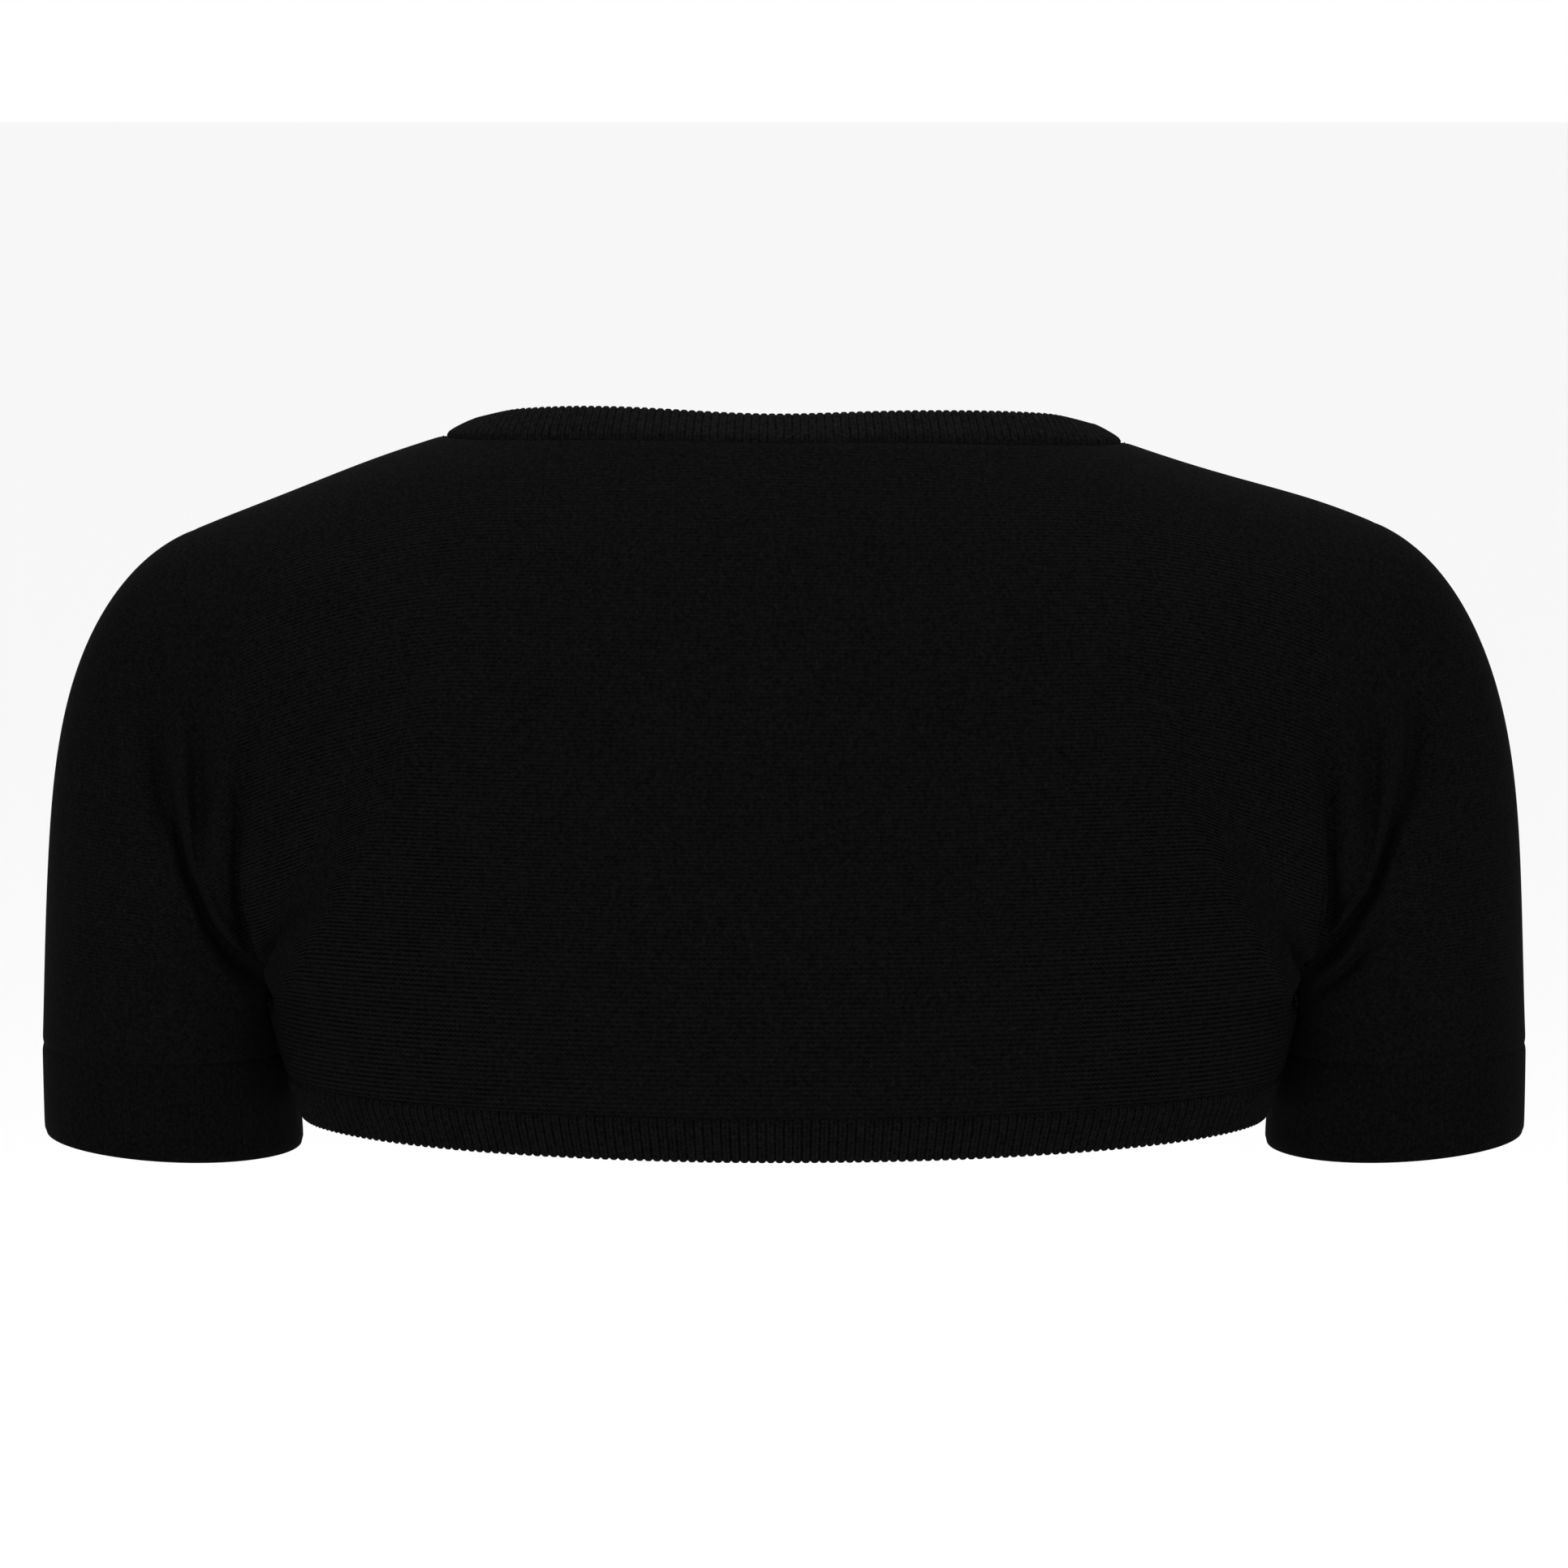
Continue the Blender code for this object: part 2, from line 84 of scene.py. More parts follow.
# %% Sizes of the sections
Section = namedtuple(
    "Section",
    "centre_height edge_height half_back half_front depth_back depth_front edge_back edge_front power root",
)
SIDE_DEPTH = 0.003
NECK_HALF = 0.1095
NECK_DEPTH = 0.049
RIDGE_RISE = 0.020
SHOULDER_DROP = 0.030
SHOULDER_BEND = 0.0010
SECTIONS = {
    -1: Section(-0.2237, -0.2203, 0.1560, 0.1560, 0.0850, -0.1080, SIDE_DEPTH, SIDE_DEPTH, 2.3, 0.48),
    0: Section(-0.2092, -0.2062, 0.1612, 0.1612, 0.0905, -0.1120, SIDE_DEPTH, SIDE_DEPTH, 2.3, 0.48),
    1: Section(-0.1740, -0.1770, 0.1690, 0.1690, 0.0985, -0.1120, SIDE_DEPTH, SIDE_DEPTH, 2.3, 0.48),
    2: Section(-0.0930, -0.1030, 0.1765, 0.1670, 0.1000, -0.0920, 0.0550, -0.0580, 2.6, 1.0),
    3: Section(RIDGE_RISE, -SHOULDER_DROP, 0.1910, 0.1910, 0.0, 0.0, 0.0, 0.0, 2.0, 1.0),
}
print("Sections at heights, mm:", [round(1000 * s.centre_height) for s in SECTIONS.values()])


# %% Points of one section
def ease(share):
    """A smooth step from 0 to 1."""
    share = np.clip(share, 0.0, 1.0)
    return share * share * (3 - 2 * share)


def unit(vectors):
    return vectors / np.maximum(np.linalg.norm(vectors, axis=-1, keepdims=True), 1e-12)


def blend(first, second, share):
    return first + (second - first) * share


def curve(first, leaving, last, arriving, t):
    """A smooth curve from a first to a last point, which leaves and arrives as stated."""
    return (
        first * (2 * t**3 - 3 * t**2 + 1)
        + leaving * (t**3 - 2 * t**2 + t)
        + last * (3 * t**2 - 2 * t**3)
        + arriving * (t**3 - t**2)
    )


def section_points(level, share, back):
    s = SECTIONS[level]
    size = np.clip(np.abs(share), 0.0, 1.0)
    half, depth, edge = s.half_front, s.depth_front, s.edge_front
    if back:
        half, depth, edge = s.half_back, s.depth_back, s.edge_back
    if level < 3:
        y = edge + (depth - edge) * (1 - size**s.power) ** s.root
        z = s.centre_height + (s.edge_height - s.centre_height) * size**2
        return np.stack([share * half, y, z], axis=-1)
    neck = NECK_HALF / half
    along = np.clip((size - neck) / (1 - neck), 0.0, 1.0)
    z = RIDGE_RISE * np.clip(1 - (size / neck) ** 2, 0.0, 1.0)
    z = z - SHOULDER_DROP * along + SHOULDER_BEND * np.sin(np.pi * along)
    return np.stack([share * half, np.zeros_like(size), z], axis=-1)


print("Middle of the back at the underarm:", section_points(1, np.array(0.0), True))


# %% Join the sections with smooth curves
def body(level, share, back):
    """Points of the body. At the armhole the curve leaves the underarm level, climbs and ends level."""
    level, share = np.broadcast_arrays(np.asarray(level, float), np.asarray(share, float))
    knots = [section_points(k, share, back) for k in sorted(SECTIONS)]
    chords = [high - low for low, high in zip(knots, knots[1:])]
    lengths = [np.linalg.norm(chord, axis=-1, keepdims=True) for chord in chords]
    ways = [unit(chord) for chord in chords]
    level_way = np.array([0.0, 1.0 if back else -1.0, 0.0])
    climb = unit((knots[4] - knots[2]) * np.array([1.0, 0.0, 1.0]))
    edge = (np.abs(share) ** 10)[..., None]
    leaves, arrives = [ways[0]], [None]
    for k in (1, 2, 3):
        smooth = unit(ways[k - 1] * lengths[k] + ways[k] * lengths[k - 1])
        arrives.append([None, smooth, unit(blend(smooth, ways[1], edge)), unit(blend(smooth, climb, edge))][k])
        leaves.append([None, smooth, unit(blend(smooth, level_way, edge)), unit(blend(smooth, climb, edge))][k])
    arrives.append(np.broadcast_to(-level_way, knots[4].shape))
    points = np.zeros(level.shape + (3,))
    for n in range(4):
        t = np.clip(level - (n - 1), 0.0, 1.0)[..., None]
        reach = lengths[n] * (1.15 if n > 1 else 1.0)
        joined = curve(knots[n], leaves[n] * reach, knots[n + 1], arrives[n + 1] * reach, t)
        points = np.where(((level >= n - 1) | (n == 0))[..., None], joined, points)
    return points


print("Armhole half way up, behind:", body(2.0, 1.0, True).round(3))

# %% [markdown]
# ## Where the panels end
#
# The back ends at the shoulder seams and at a shallow scoop behind the neck. The fronts end at their bands, which
# run straight up and then swing out to the shoulders in a wide V. These edges are found on the form itself, so the
# bands start exactly where the panels stop.

# %% Neck and front edges
V_LEVEL = 1.2
BAND_WIDTH = 0.0130
FRONT_GAP = 0.012


def neck_level(share):
    """Level at which the back ends at a share of the width."""
    share = np.asarray(share, float)
    inside = np.clip(np.abs(share) * SECTIONS[3].half_back / NECK_HALF, 0.0, 1.0)
    depth = NECK_DEPTH * np.sqrt(1 - inside**2)
    low, high = np.full(share.shape, 2.0), np.full(share.shape, 3.0)
    for _ in range(24):
        middle = (low + high) / 2
        behind = body(middle, share, True)[..., 1] > depth
        low, high = np.where(behind, middle, low), np.where(behind, high, middle)
    return np.where(inside < 1 - 1e-9, high, 3.0)


def front_edge(level):
    """Share of the width at which a front ends and its band begins."""
    straight = FRONT_GAP / 2 + BAND_WIDTH
    rise = ease((level - V_LEVEL) / (3 - V_LEVEL))
    return (straight + (NECK_HALF - straight) * rise) / body(level, 1.0, False)[..., 0]


print("The neck seam is at level", neck_level(np.array([0.0])).round(3), "in the middle of the back")

# %% [markdown]
# ## The form of the sleeves
#
# Each sleeve starts at the armhole, bends over the shoulder and hangs to a ring where the cuff is linked on. A
# smooth curve runs from every point of the armhole to its point of the ring. How the cloth leaves the one and
# reaches the other is stated for the underarm, the back, the shoulder and the front.

# %% Sleeves and cuffs
Ring = namedtuple("Ring", "centre_x centre_y height half_width half_depth outer_rise back_drop")
CUFF_SEAM = Ring(0.2015, -0.0320, -0.2015, 0.0415, 0.0550, 0.0015, 0.0000)
CUFF_END = Ring(0.2008, -0.0380, -0.2345, 0.0424, 0.0530, 0.0046, 0.0015)
Pull = namedtuple("Pull", "out back up")
LEAVING = [
    Pull(0.010, -0.012, -0.014),
    Pull(0.045, -0.022, -0.030),
    Pull(0.160, 0.000, -0.062),
    Pull(0.040, 0.010, -0.030),
]
REACHING = [
    Pull(-0.002, -0.006, -0.020),
    Pull(0.004, -0.014, -0.080),
    Pull(0.008, -0.014, -0.156),
    Pull(0.002, -0.004, -0.080),
]


def quarters(table, angle):
    """Value at an angle of a table with one row for each quarter turn."""
    rows = np.array(table, float)
    place = np.mod(angle, 2 * np.pi) / (np.pi / 2)
    first = np.floor(place).astype(int) % 4
    share = np.sin((place - np.floor(place)) * np.pi / 2) ** 2
    return blend(rows[first], rows[(first + 1) % 4], share[..., None])


def armhole(angle):
    """Angle 0 is the underarm, a quarter turn the back, half a turn the shoulder."""
    angle = np.mod(np.asarray(angle, float), 2 * np.pi)
    behind = body(1 + np.minimum(angle, np.pi) / (np.pi / 2), np.ones_like(angle), True)
    before = body(1 + np.minimum(2 * np.pi - angle, np.pi) / (np.pi / 2), np.ones_like(angle), False)
    return np.where((angle <= np.pi + 1e-9)[..., None], behind, before)


def ring(size, angle):
    x = size.centre_x - size.half_width * np.cos(angle)
    y = size.centre_y + size.half_depth * np.sin(angle)
    z = size.height + size.outer_rise * (1 - np.cos(angle)) / 2 - size.back_drop * np.sin(angle)
    return np.stack([x, y, z], axis=-1)


def sleeve(angle, share):
    """The left sleeve, from the armhole at share 0 to the cuff seam at share 1."""
    angle, share = np.broadcast_arrays(np.asarray(angle, float), np.asarray(share, float))
    leaving, arriving = quarters(LEAVING, angle), quarters(REACHING, angle)
    return curve(armhole(angle), leaving, ring(CUFF_SEAM, angle), arriving, share[..., None])


print("Outermost point of the sleeve, mm:", round(1000 * float(sleeve(np.pi, 0.55)[0])))

# %% [markdown]
# ## Posture
#
# Nothing that is worn hangs quite even. In the photograph one shoulder is fuller and the neck is a little tilted.

# %% Tilt the neck and lift one shoulder
RIGHT_SHOULDER_LIFT = 0.003
NECK_TILT = 0.0009


def posture(points):
    x, z = points[..., 0], points[..., 2]
    lift = RIGHT_SHOULDER_LIFT * np.exp(-(((x + 0.184) / 0.036) ** 2)) * ease((z + 0.12) / 0.08)
    tilt = NECK_TILT * np.sin(np.pi / 2 * np.clip(x / NECK_HALF, -2.0, 2.0)) * ease((z + 0.10) / 0.08)
    moved = points.copy()
    moved[..., 2] += lift + tilt
    return moved


print("Lift on the right shoulder, mm:", round(1000 * RIGHT_SHOULDER_LIFT))

# %% [markdown]
# ## Creases
#
# Where the arm meets the body, the knit gathers into creases that fan out upwards from the underarm. They are sharp
# and deep at the bottom and fade towards the shoulder. A cloth simulation would give creases of its own, not these.
# So each one is drawn as a line of stations, and each station has its depth and its half-width. The places
# behind are read as the camera sees them, and the cloth rises in a lip beside each crease. The photograph doesn't
# show the front, so it gets similar ones, drawn in the same way.

# %% The creases as tables
SHARP_DEPTH = 0.0044
DEEPEST = 0.0105
# A crease has the height of its lip, as a share of its depth, and its stations: each is how far out it lies, its
# height, its depth and its half-width, in mm.

CREASES = {
    "left behind": [
        (0.45, [
            (166.4, -186.8, 0, 3), (171.1, -176.4, 4.6, 2.7), (178.5, -168.3, 5.2, 2.3), (185, -159.3, 5, 1.9),
            (189, -150.1, 4.6, 1.7), (193.8, -138.8, 4, 1.6), (196.2, -126.5, 3.6, 1.7), (198, -117, 3.4, 2),
            (199.2, -108, 2.2, 2.5), (200.5, -99, 0, 3)]),
        (0.90, [
            (192, -144, 0, 3), (197, -130, 1.8, 3.2), (200.5, -119, 2.9, 3.4), (202.4, -106, 3, 3.8),
            (203, -93, 2.1, 4.2), (201.8, -78, 0.9, 5), (200, -64, 0, 6)]),
        (0.80, [
            (189.5, -152, 0, 3.2), (189.8, -140, 1.3, 3.2), (189.3, -129, 1.9, 3.4), (188.7, -119, 2.2, 3.6),
            (189.2, -105, 2.1, 4), (189.3, -92, 1.5, 4.6), (187, -78, 0.7, 5.6), (184, -64, 0, 6)]),
        (0.25, [
            (173, -173, 0, 2.6), (174.2, -167, 4.8, 2.4), (176, -158, 4.8, 2), (177.4, -150, 4.4, 1.7),
            (178, -140.4, 3, 1.5), (177.4, -128.8, 1.4, 1.5), (177, -119, 0.6, 1.6), (176.5, -111, 0, 1.8)]),
        (0.50, [
            (177, -142, 0, 3.4), (176.2, -129, 1.4, 3.6), (175, -115, 1.7, 4), (173.5, -100, 1.2, 4.4),
            (171, -85, 0, 5)]),
        (0.15, [
            (169.5, -181, 0, 2.6), (170, -173, 4, 2.3), (168.6, -166, 3.4, 2.6), (164.6, -159, 1.9, 3.4),
            (158, -153, 1, 4), (151, -146.7, 0, 4.4)]),
        (0.0, [
            (197, -190, 0, 6), (203, -176, 0.7, 6), (209, -156, 0.7, 6), (215, -134, 0, 6)]),
    ],
    "right behind": [
        (0.45, [
            (166.2, -186.8, 0, 3), (169.4, -178, 4.4, 2.7), (174.2, -170, 5.2, 2.4), (180.2, -162.2, 5.2, 2),
            (185.2, -154.3, 5, 1.8), (190.3, -146.4, 4.7, 1.7), (193.7, -136.7, 4.2, 1.7), (196.2, -128, 3.6, 1.8),
            (198.4, -118, 2.8, 2.1), (200, -108, 1.4, 2.6), (201, -99, 0, 3)]),
        (0.90, [
            (192.5, -143, 0, 3), (197.5, -128, 2, 3.2), (200.8, -117.5, 3.1, 3.4), (202.8, -106, 3.4, 3.8),
            (203.6, -95, 3, 4.2), (202.6, -84, 1.2, 4.8), (201, -72, 0.5, 5.6), (200, -62, 0, 6)]),
        (0.30, [
            (170, -183, 0, 2.6), (176.5, -177.2, 2.2, 2.2), (183.6, -170.5, 2.4, 2.2), (190, -163, 1.4, 2.6),
            (195, -154, 0, 3.4)]),
        (0.80, [
            (187, -150, 0, 3.2), (189.2, -136, 1.5, 3.4), (189.7, -122, 2, 3.8), (189.7, -105, 1.8, 4.4),
            (188.8, -90, 1.2, 5), (188, -72, 0, 6)]),
        (0.25, [
            (173.5, -173, 0, 2.8), (175.6, -164, 5, 2.5), (177.8, -155.1, 5, 2.1), (178.3, -146.4, 4.6, 1.8),
            (177.9, -137.5, 3, 1.6), (177.7, -127.4, 1.4, 1.5), (176.8, -118, 0.6, 1.6), (176, -110, 0, 1.8)]),
        (0.60, [
            (177.8, -140, 0, 3.4), (177.2, -127, 1.5, 3.6), (176, -113, 1.9, 4.2), (174.8, -98, 1.2, 4.6),
            (172.5, -84, 0, 5)]),
        (0.15, [
            (170, -181, 0, 2.6), (169, -173, 4, 2.5), (166.4, -164, 2.2, 2.8), (161.2, -157.5, 0.8, 3.4),
            (155.1, -152, 0, 4.4)]),
    ],
    "left before": [
        (0.30, [
            (169, -183, 0, 3.2), (176, -171.5, 4.2, 2.8), (185, -159, 4.2, 2.8), (193, -143, 3.4, 3),
            (198.5, -125, 2.2, 4.4), (201, -100, 0, 6)]),
        (0.20, [
            (170, -175, 0, 2.8), (174, -162, 3, 2.8), (175.5, -144, 2.4, 3), (173.5, -124, 1.4, 4),
            (170, -106, 0, 5)]),
        (0.15, [
            (168, -178, 0, 3), (161, -166, 2.4, 3.4), (152, -158, 1.4, 4.4), (138, -151, 0, 5.5)]),
        (0.0, [
            (118, -196, 0, 8), (100, -174, 1, 8.5), (85, -150, 0.8, 9), (76, -126, 0, 9)]),
    ],
    "right before": [
        (0.30, [
            (169, -184, 0, 3.2), (174.5, -173, 4, 2.8), (183, -162, 4.4, 2.8), (190.5, -148, 3.6, 2.8),
            (196, -131, 2.6, 4), (199.5, -108, 0, 6)]),
        (0.20, [
            (186, -138, 0, 4), (187.5, -123, 1.6, 4.6), (186, -106, 1.4, 5.2), (183, -90, 0, 6)]),
        (0.20, [
            (169, -174, 0, 2.8), (172.5, -160, 3.2, 2.8), (173.5, -145, 2.2, 3), (171.5, -128, 0, 4.5)]),
        (0.0, [
            (123, -193, 0, 8), (106, -170, 1, 8), (93, -143, 0, 9)]),
    ],
}
print("Creases:", {side: len(creases) for side, creases in CREASES.items()})


# %% How deep the creases are at a point
def through(rows, count):
    """A smooth curve through all columns of a table."""
    rows = np.array(rows, float)
    slope = np.gradient(rows, axis=0)
    place = np.linspace(0, len(rows) - 1, count)
    first = np.minimum(place.astype(int), len(rows) - 2)
    t = (place - first)[:, None]
    return curve(rows[first], slope[first], rows[first + 1], slope[first + 1], t)


def trough(places, crease):
    """How far one crease sinks the cloth. Its lip is the rise on both sides, higher on one of them."""
    lip_share, stations = crease
    line = through(np.array(stations) / 1000, 60)
    way = unit(np.gradient(line[:, :2], axis=0))
    offset = places[:, None] - line[None, :, :2]
    nearest = np.linalg.norm(offset, axis=-1).argmin(axis=-1)
    offset = offset[np.arange(len(places)), nearest]
    way, depth, wide = way[nearest], np.maximum(line[nearest, 2], 0), line[nearest, 3]
    across = way[:, 0] * offset[:, 1] - way[:, 1] * offset[:, 0]
    beyond = np.maximum(np.abs((way * offset).sum(axis=-1)) - 0.002, 0)
    depth = depth * (1.5 + (depth / SHARP_DEPTH) ** 2)
    narrow = np.exp(-(np.abs(across / (0.75 * wide)) ** 2.6))
    soft = np.where(across < 0, np.exp(-(np.abs(across / (2.2 * wide)) ** 1.5)), narrow)
    beside = np.exp(-((across / wide - 1.9) ** 2) / 0.8) + 0.5 * np.exp(-((across / wide + 2.1) ** 2) / 0.8)
    lip = line[nearest, 2] * lip_share * beside
    return (depth * (0.6 * narrow + 0.4 * soft) - lip) * np.exp(-((beyond / wide) ** 2))


def as_seen(points):
    """Where the camera sees points, in metres at the distance of its aim."""
    ray = points - np.array(AIM + AWAY * towards_camera)
    scale = -AWAY / (ray @ np.array(towards_camera))
    height = ray @ np.array([0.0, -math.sin(ELEVATION), math.cos(ELEVATION)])
    return np.stack([np.abs(ray[:, 0]) * scale, AIM.z + height * scale], axis=-1)


def sinking(points):
    """How far all creases and the slow waves of the drape sink the cloth."""
    flat = points.reshape(-1, 3)
    behind, before = as_seen(flat), np.abs(flat[:, [0, 2]]) * np.array([1.0, -1.0])
    total = np.zeros(len(flat))
    for name, creases in CREASES.items():
        places, facing = (behind, 1) if "behind" in name else (before, -1)
        here = ease((facing * flat[:, 1] + 0.012) / 0.028)
        here = here * ((flat[:, 0] > 0) == ("left" in name))
        near = here > 0
        sunk = sum(trough(places[near], crease) for crease in creases)
        total[near] += here[near] * DEEPEST * np.tanh(sunk / DEEPEST)
    x, y, z = flat.T
    wave = np.sin(41 * x + 23 * z + 0.6) * np.sin(34 * z - 19 * y + 1.3) + 0.5 * np.sin(83 * x - 57 * z + 31 * y)
    return (total + 0.00035 * wave).reshape(points.shape[:-1])


on_crease = trough(np.array([[0.1858, -0.1593]]), CREASES["left behind"][0])
print("Depth on the first crease, mm:", (1000 * on_crease).round(1))

# %% [markdown]
# ## Moving cloth inwards
#
# A crease must move the sleeve and the back by the same amount where they share a seam, or the seam would open. So
# the direction depends only on the place: towards the middle of the body, or near the arm towards the middle of it.

# %% Direction towards the middle
def inwards(points):
    x, y, z = np.moveaxis(points, -1, 0)
    arm = ease((np.abs(x) - 0.150) / 0.040)
    middle_x = blend(np.clip(x, -0.10, 0.10), 0.2 * np.sign(x), arm)
    middle = np.stack([middle_x, blend(-0.005, -0.030, arm), np.minimum(z, -0.10)], axis=-1)
    return unit(middle - points)


def draped(points):
    """The cloth with its creases and the posture."""
    return posture(points + inwards(points) * sinking(points)[..., None])


print("Inwards at the middle of the back:", inwards(body(1.5, 0.0, True)).round(2))

# %% [markdown]
# ## Shells of cloth
#
# Each piece is a grid of points. Rows follow the courses of the knit and columns its wales. The grid becomes a mesh
# with a UV map in metres, so that stitches have one size all over, and a Solidify modifier gives it thickness. At a
# seam the cloth dips, and one piece tucks its edge under the other, as a linked seam does.

# %% From a grid to a shell
DIP_WIDTH = 0.0013


def facing_out(points, closed):
    """Unit normals of a grid of points, turned outwards."""
    if closed:
        around = np.roll(points, -1, axis=1) - np.roll(points, 1, axis=1)
    else:
        around = np.gradient(points, axis=1)
    out = unit(np.cross(np.gradient(points, axis=0), around))
    return out * np.sign(-(out * inwards(points)).sum())


def run(points, axis):
    """Distance along a grid from its first row or column."""
    steps = np.linalg.norm(np.diff(points, axis=axis), axis=-1)
    start = np.zeros_like(np.take(steps, [0], axis=axis))
    return np.concatenate([start, np.cumsum(steps, axis=axis)], axis=axis)


def between(places, known, line):
    """Points of a line at places between its known ones."""
    return np.stack([np.interp(places, known, column) for column in line.T], axis=-1)


def dipped(points, closed, rows, columns=(0.0, 0.0)):
    """The grid dipped at its first and last row and its first and last column, to the stated depths."""
    depth = np.zeros(points.shape[:2])
    for axis, (first, last) in enumerate((rows, columns)):
        place = run(points, axis)
        left = np.take(place, [-1], axis=axis) - place
        depth = np.maximum(depth, first * np.exp(-((place / DIP_WIDTH) ** 2)))
        depth = np.maximum(depth, last * np.exp(-((left / DIP_WIDTH) ** 2)))
    return points - facing_out(points, closed) * depth[..., None]


def tucked(points, on, out, under=0.0012, below=0.0011):
    """The grid with one more row, which goes on beyond its first row and under the neighbour there."""
    beyond = points[0] + on * under - out * below
    return np.concatenate([beyond[None], points])


def beyond_seam(points, closed):
    """At the first row of a grid, the way on beyond it and the way out of the cloth."""
    return unit(points[0] - points[1]), facing_out(points, closed)[0]


def shell(name, points, uv, closed, thickness):
    """A mesh object with thickness from a grid of points. A closed grid has one more column of UVs."""
    rows, columns = points.shape[:2]
    index = np.arange(rows * columns).reshape(rows, columns)
    if closed:
        index = np.concatenate([index, index[:, :1]], axis=1)
    corners = np.stack([index[:-1, :-1], index[:-1, 1:], index[1:, 1:], index[1:, :-1]], axis=-1)
    places = np.stack([uv[:-1, :-1], uv[:-1, 1:], uv[1:, 1:], uv[1:, :-1]], axis=2)
    out = np.cross(points[1:, :-1] - points[:-1, :-1], points[:-1, 1:] - points[:-1, :-1])
    if (out * inwards(points[:-1, :-1])).sum() < 0:
        corners, places = corners[..., ::-1], places[:, :, ::-1]
    mesh = bpy.data.meshes.new(name)
    mesh.from_pydata(points.reshape(-1, 3).tolist(), [], corners.reshape(-1, 4).tolist())
    layer = mesh.uv_layers.new(name="knit")
    layer.data.foreach_set("uv", places.reshape(-1).astype(np.float32))
    piece = bpy.data.objects.new(name, mesh)
    scene.collection.objects.link(piece)
    solid = piece.modifiers.new("thickness", "SOLIDIFY")
    solid.thickness = thickness
    solid.offset = -1.0
    bpy.ops.object.select_all(action="DESELECT")
    bpy.context.view_layer.objects.active = piece
    piece.select_set(True)
    bpy.ops.object.modifier_apply(modifier=solid.name)
    piece.data.shade_smooth()
    piece.data.set_sharp_from_angle(angle=math.radians(70))
    triangles = sum(len(face.vertices) - 2 for face in piece.data.polygons)
    print(f"{name}: {triangles} triangles")
    return piece


JERSEY = 0.0011
RIB_CLOTH = 0.0012
print("Cloth, mm:", 1000 * JERSEY, "and", 1000 * RIB_CLOTH)

# %% [markdown]
# ## The back
#
# The back is one panel. Its courses run level across the middle and slope down towards the armholes, where the arm
# pulls the knit. A second map could hold that slope, but it is simpler to add it to the height of each course.

# %% Rows and columns of a panel
def fine_ends(count, fine=(0.0, 0.0004, 0.003, 0.007, 0.012)):
    """Even steps from 0 to 1 with finer ones at both ends."""
    fine = np.array(fine)
    inner = np.linspace(0.018, 0.982, count)
    return np.concatenate([fine, inner, 1 - fine[::-1]])


def panel_levels(count):
    """Levels from the hem seam to the shoulder seam, finer at both and evenly spaced on the cloth."""
    place = fine_ends(count)
    return np.interp(place, [0.0, 0.15, 0.48, 1.0], [0.0, 1.0, 2.0, 3.0])


def outer_shares(first, count):
    """Shares from a first one out to the side, closer together towards the side."""
    return first + (1 - first) * np.sin(np.linspace(0, np.pi / 2, count + 1))


centre_back = body(np.linspace(0, 2.9, 200), 0.0, True)
centre_length = run(centre_back[:, None], 0)[:, 0]


def pulled(points):
    """How much the arm pulls the courses down, in metres, growing towards the armhole."""
    out = np.abs(points[..., 0])
    return 3.0 * np.clip(out - 0.09, 0, 0.0825) ** 2 + 0.6 * np.clip(out - 0.1725, 0, None)


def courses(points):
    """How high up in the knit points are, in metres: level and wider at the hem, sloping above the underarm."""
    along = np.interp(points[..., 2], centre_back[:, 2], centre_length)
    fold = -0.147 - 1.75 * (np.clip(np.abs(points[..., 0]), 0.10, 0.17) - 0.151)
    sloping = ease((points[..., 2] - fold + 0.014) / 0.036)
    return along - 0.2 * np.minimum(along, 0.055) + pulled(points) * sloping


def panel_map(form, levels, across):
    """UV map of a panel. Near the shoulder the courses follow the cloth's own length."""
    up = blend(courses(form), run(form, 0) - 0.011 + pulled(form), ease((levels - 2.3) / 0.5))
    return np.stack([across, up], axis=-1)


NECK_SHARE = NECK_HALF / SECTIONS[3].half_back
edge_levels = panel_levels(146)
print("Levels of a panel:", len(edge_levels))

# %% Knit the back
inner_shares = NECK_SHARE * np.sin(np.linspace(0, np.pi / 2, 66))
half_shares = np.concatenate([inner_shares[:-1], outer_shares(NECK_SHARE, 66)])
back_shares = np.concatenate([-half_shares[:0:-1], half_shares])
rows = edge_levels[:, None]
back_levels = np.minimum(rows, 2) + np.clip(rows - 2, 0, 1) * (neck_level(back_shares) - 2)
back_form = body(back_levels, back_shares[None, :], True)

across = run(back_form, 1)
across = across - across[:, [len(half_shares) - 1]]
back_uv = panel_map(back_form, back_levels, across)
back_cloth = dipped(draped(back_form), False, (0.0007, 0.0008), (0.0001, 0.0001))
knit_back = shell("knit_back", back_cloth, back_uv, False, JERSEY)

# %% [markdown]
# ## The fronts
#
# A front is half of a panel with a slanting edge. The right one is the left one mirrored, but each has creases of
# its own. Only the plain form is mirrored. The creases and the posture come after that.

# %% Knit the two fronts
def mirrored(points):
    return points * np.array([-1.0, 1.0, 1.0])


def knit_front(name, turn):
    shares = np.stack([outer_shares(first, 72) for first in front_edge(edge_levels)])
    form = turn(body(edge_levels[:, None], shares, False))
    uv = panel_map(form, edge_levels[:, None], run(form, 1))
    cloth = dipped(draped(form), False, (0.0007, 0.0003), (0.0004, 0.0001))
    return shell(name, cloth, uv, False, JERSEY), cloth


knit_front_left, front_cloth_left = knit_front("knit_front_left", lambda points: points)
knit_front_right, front_cloth_right = knit_front("knit_front_right", mirrored)

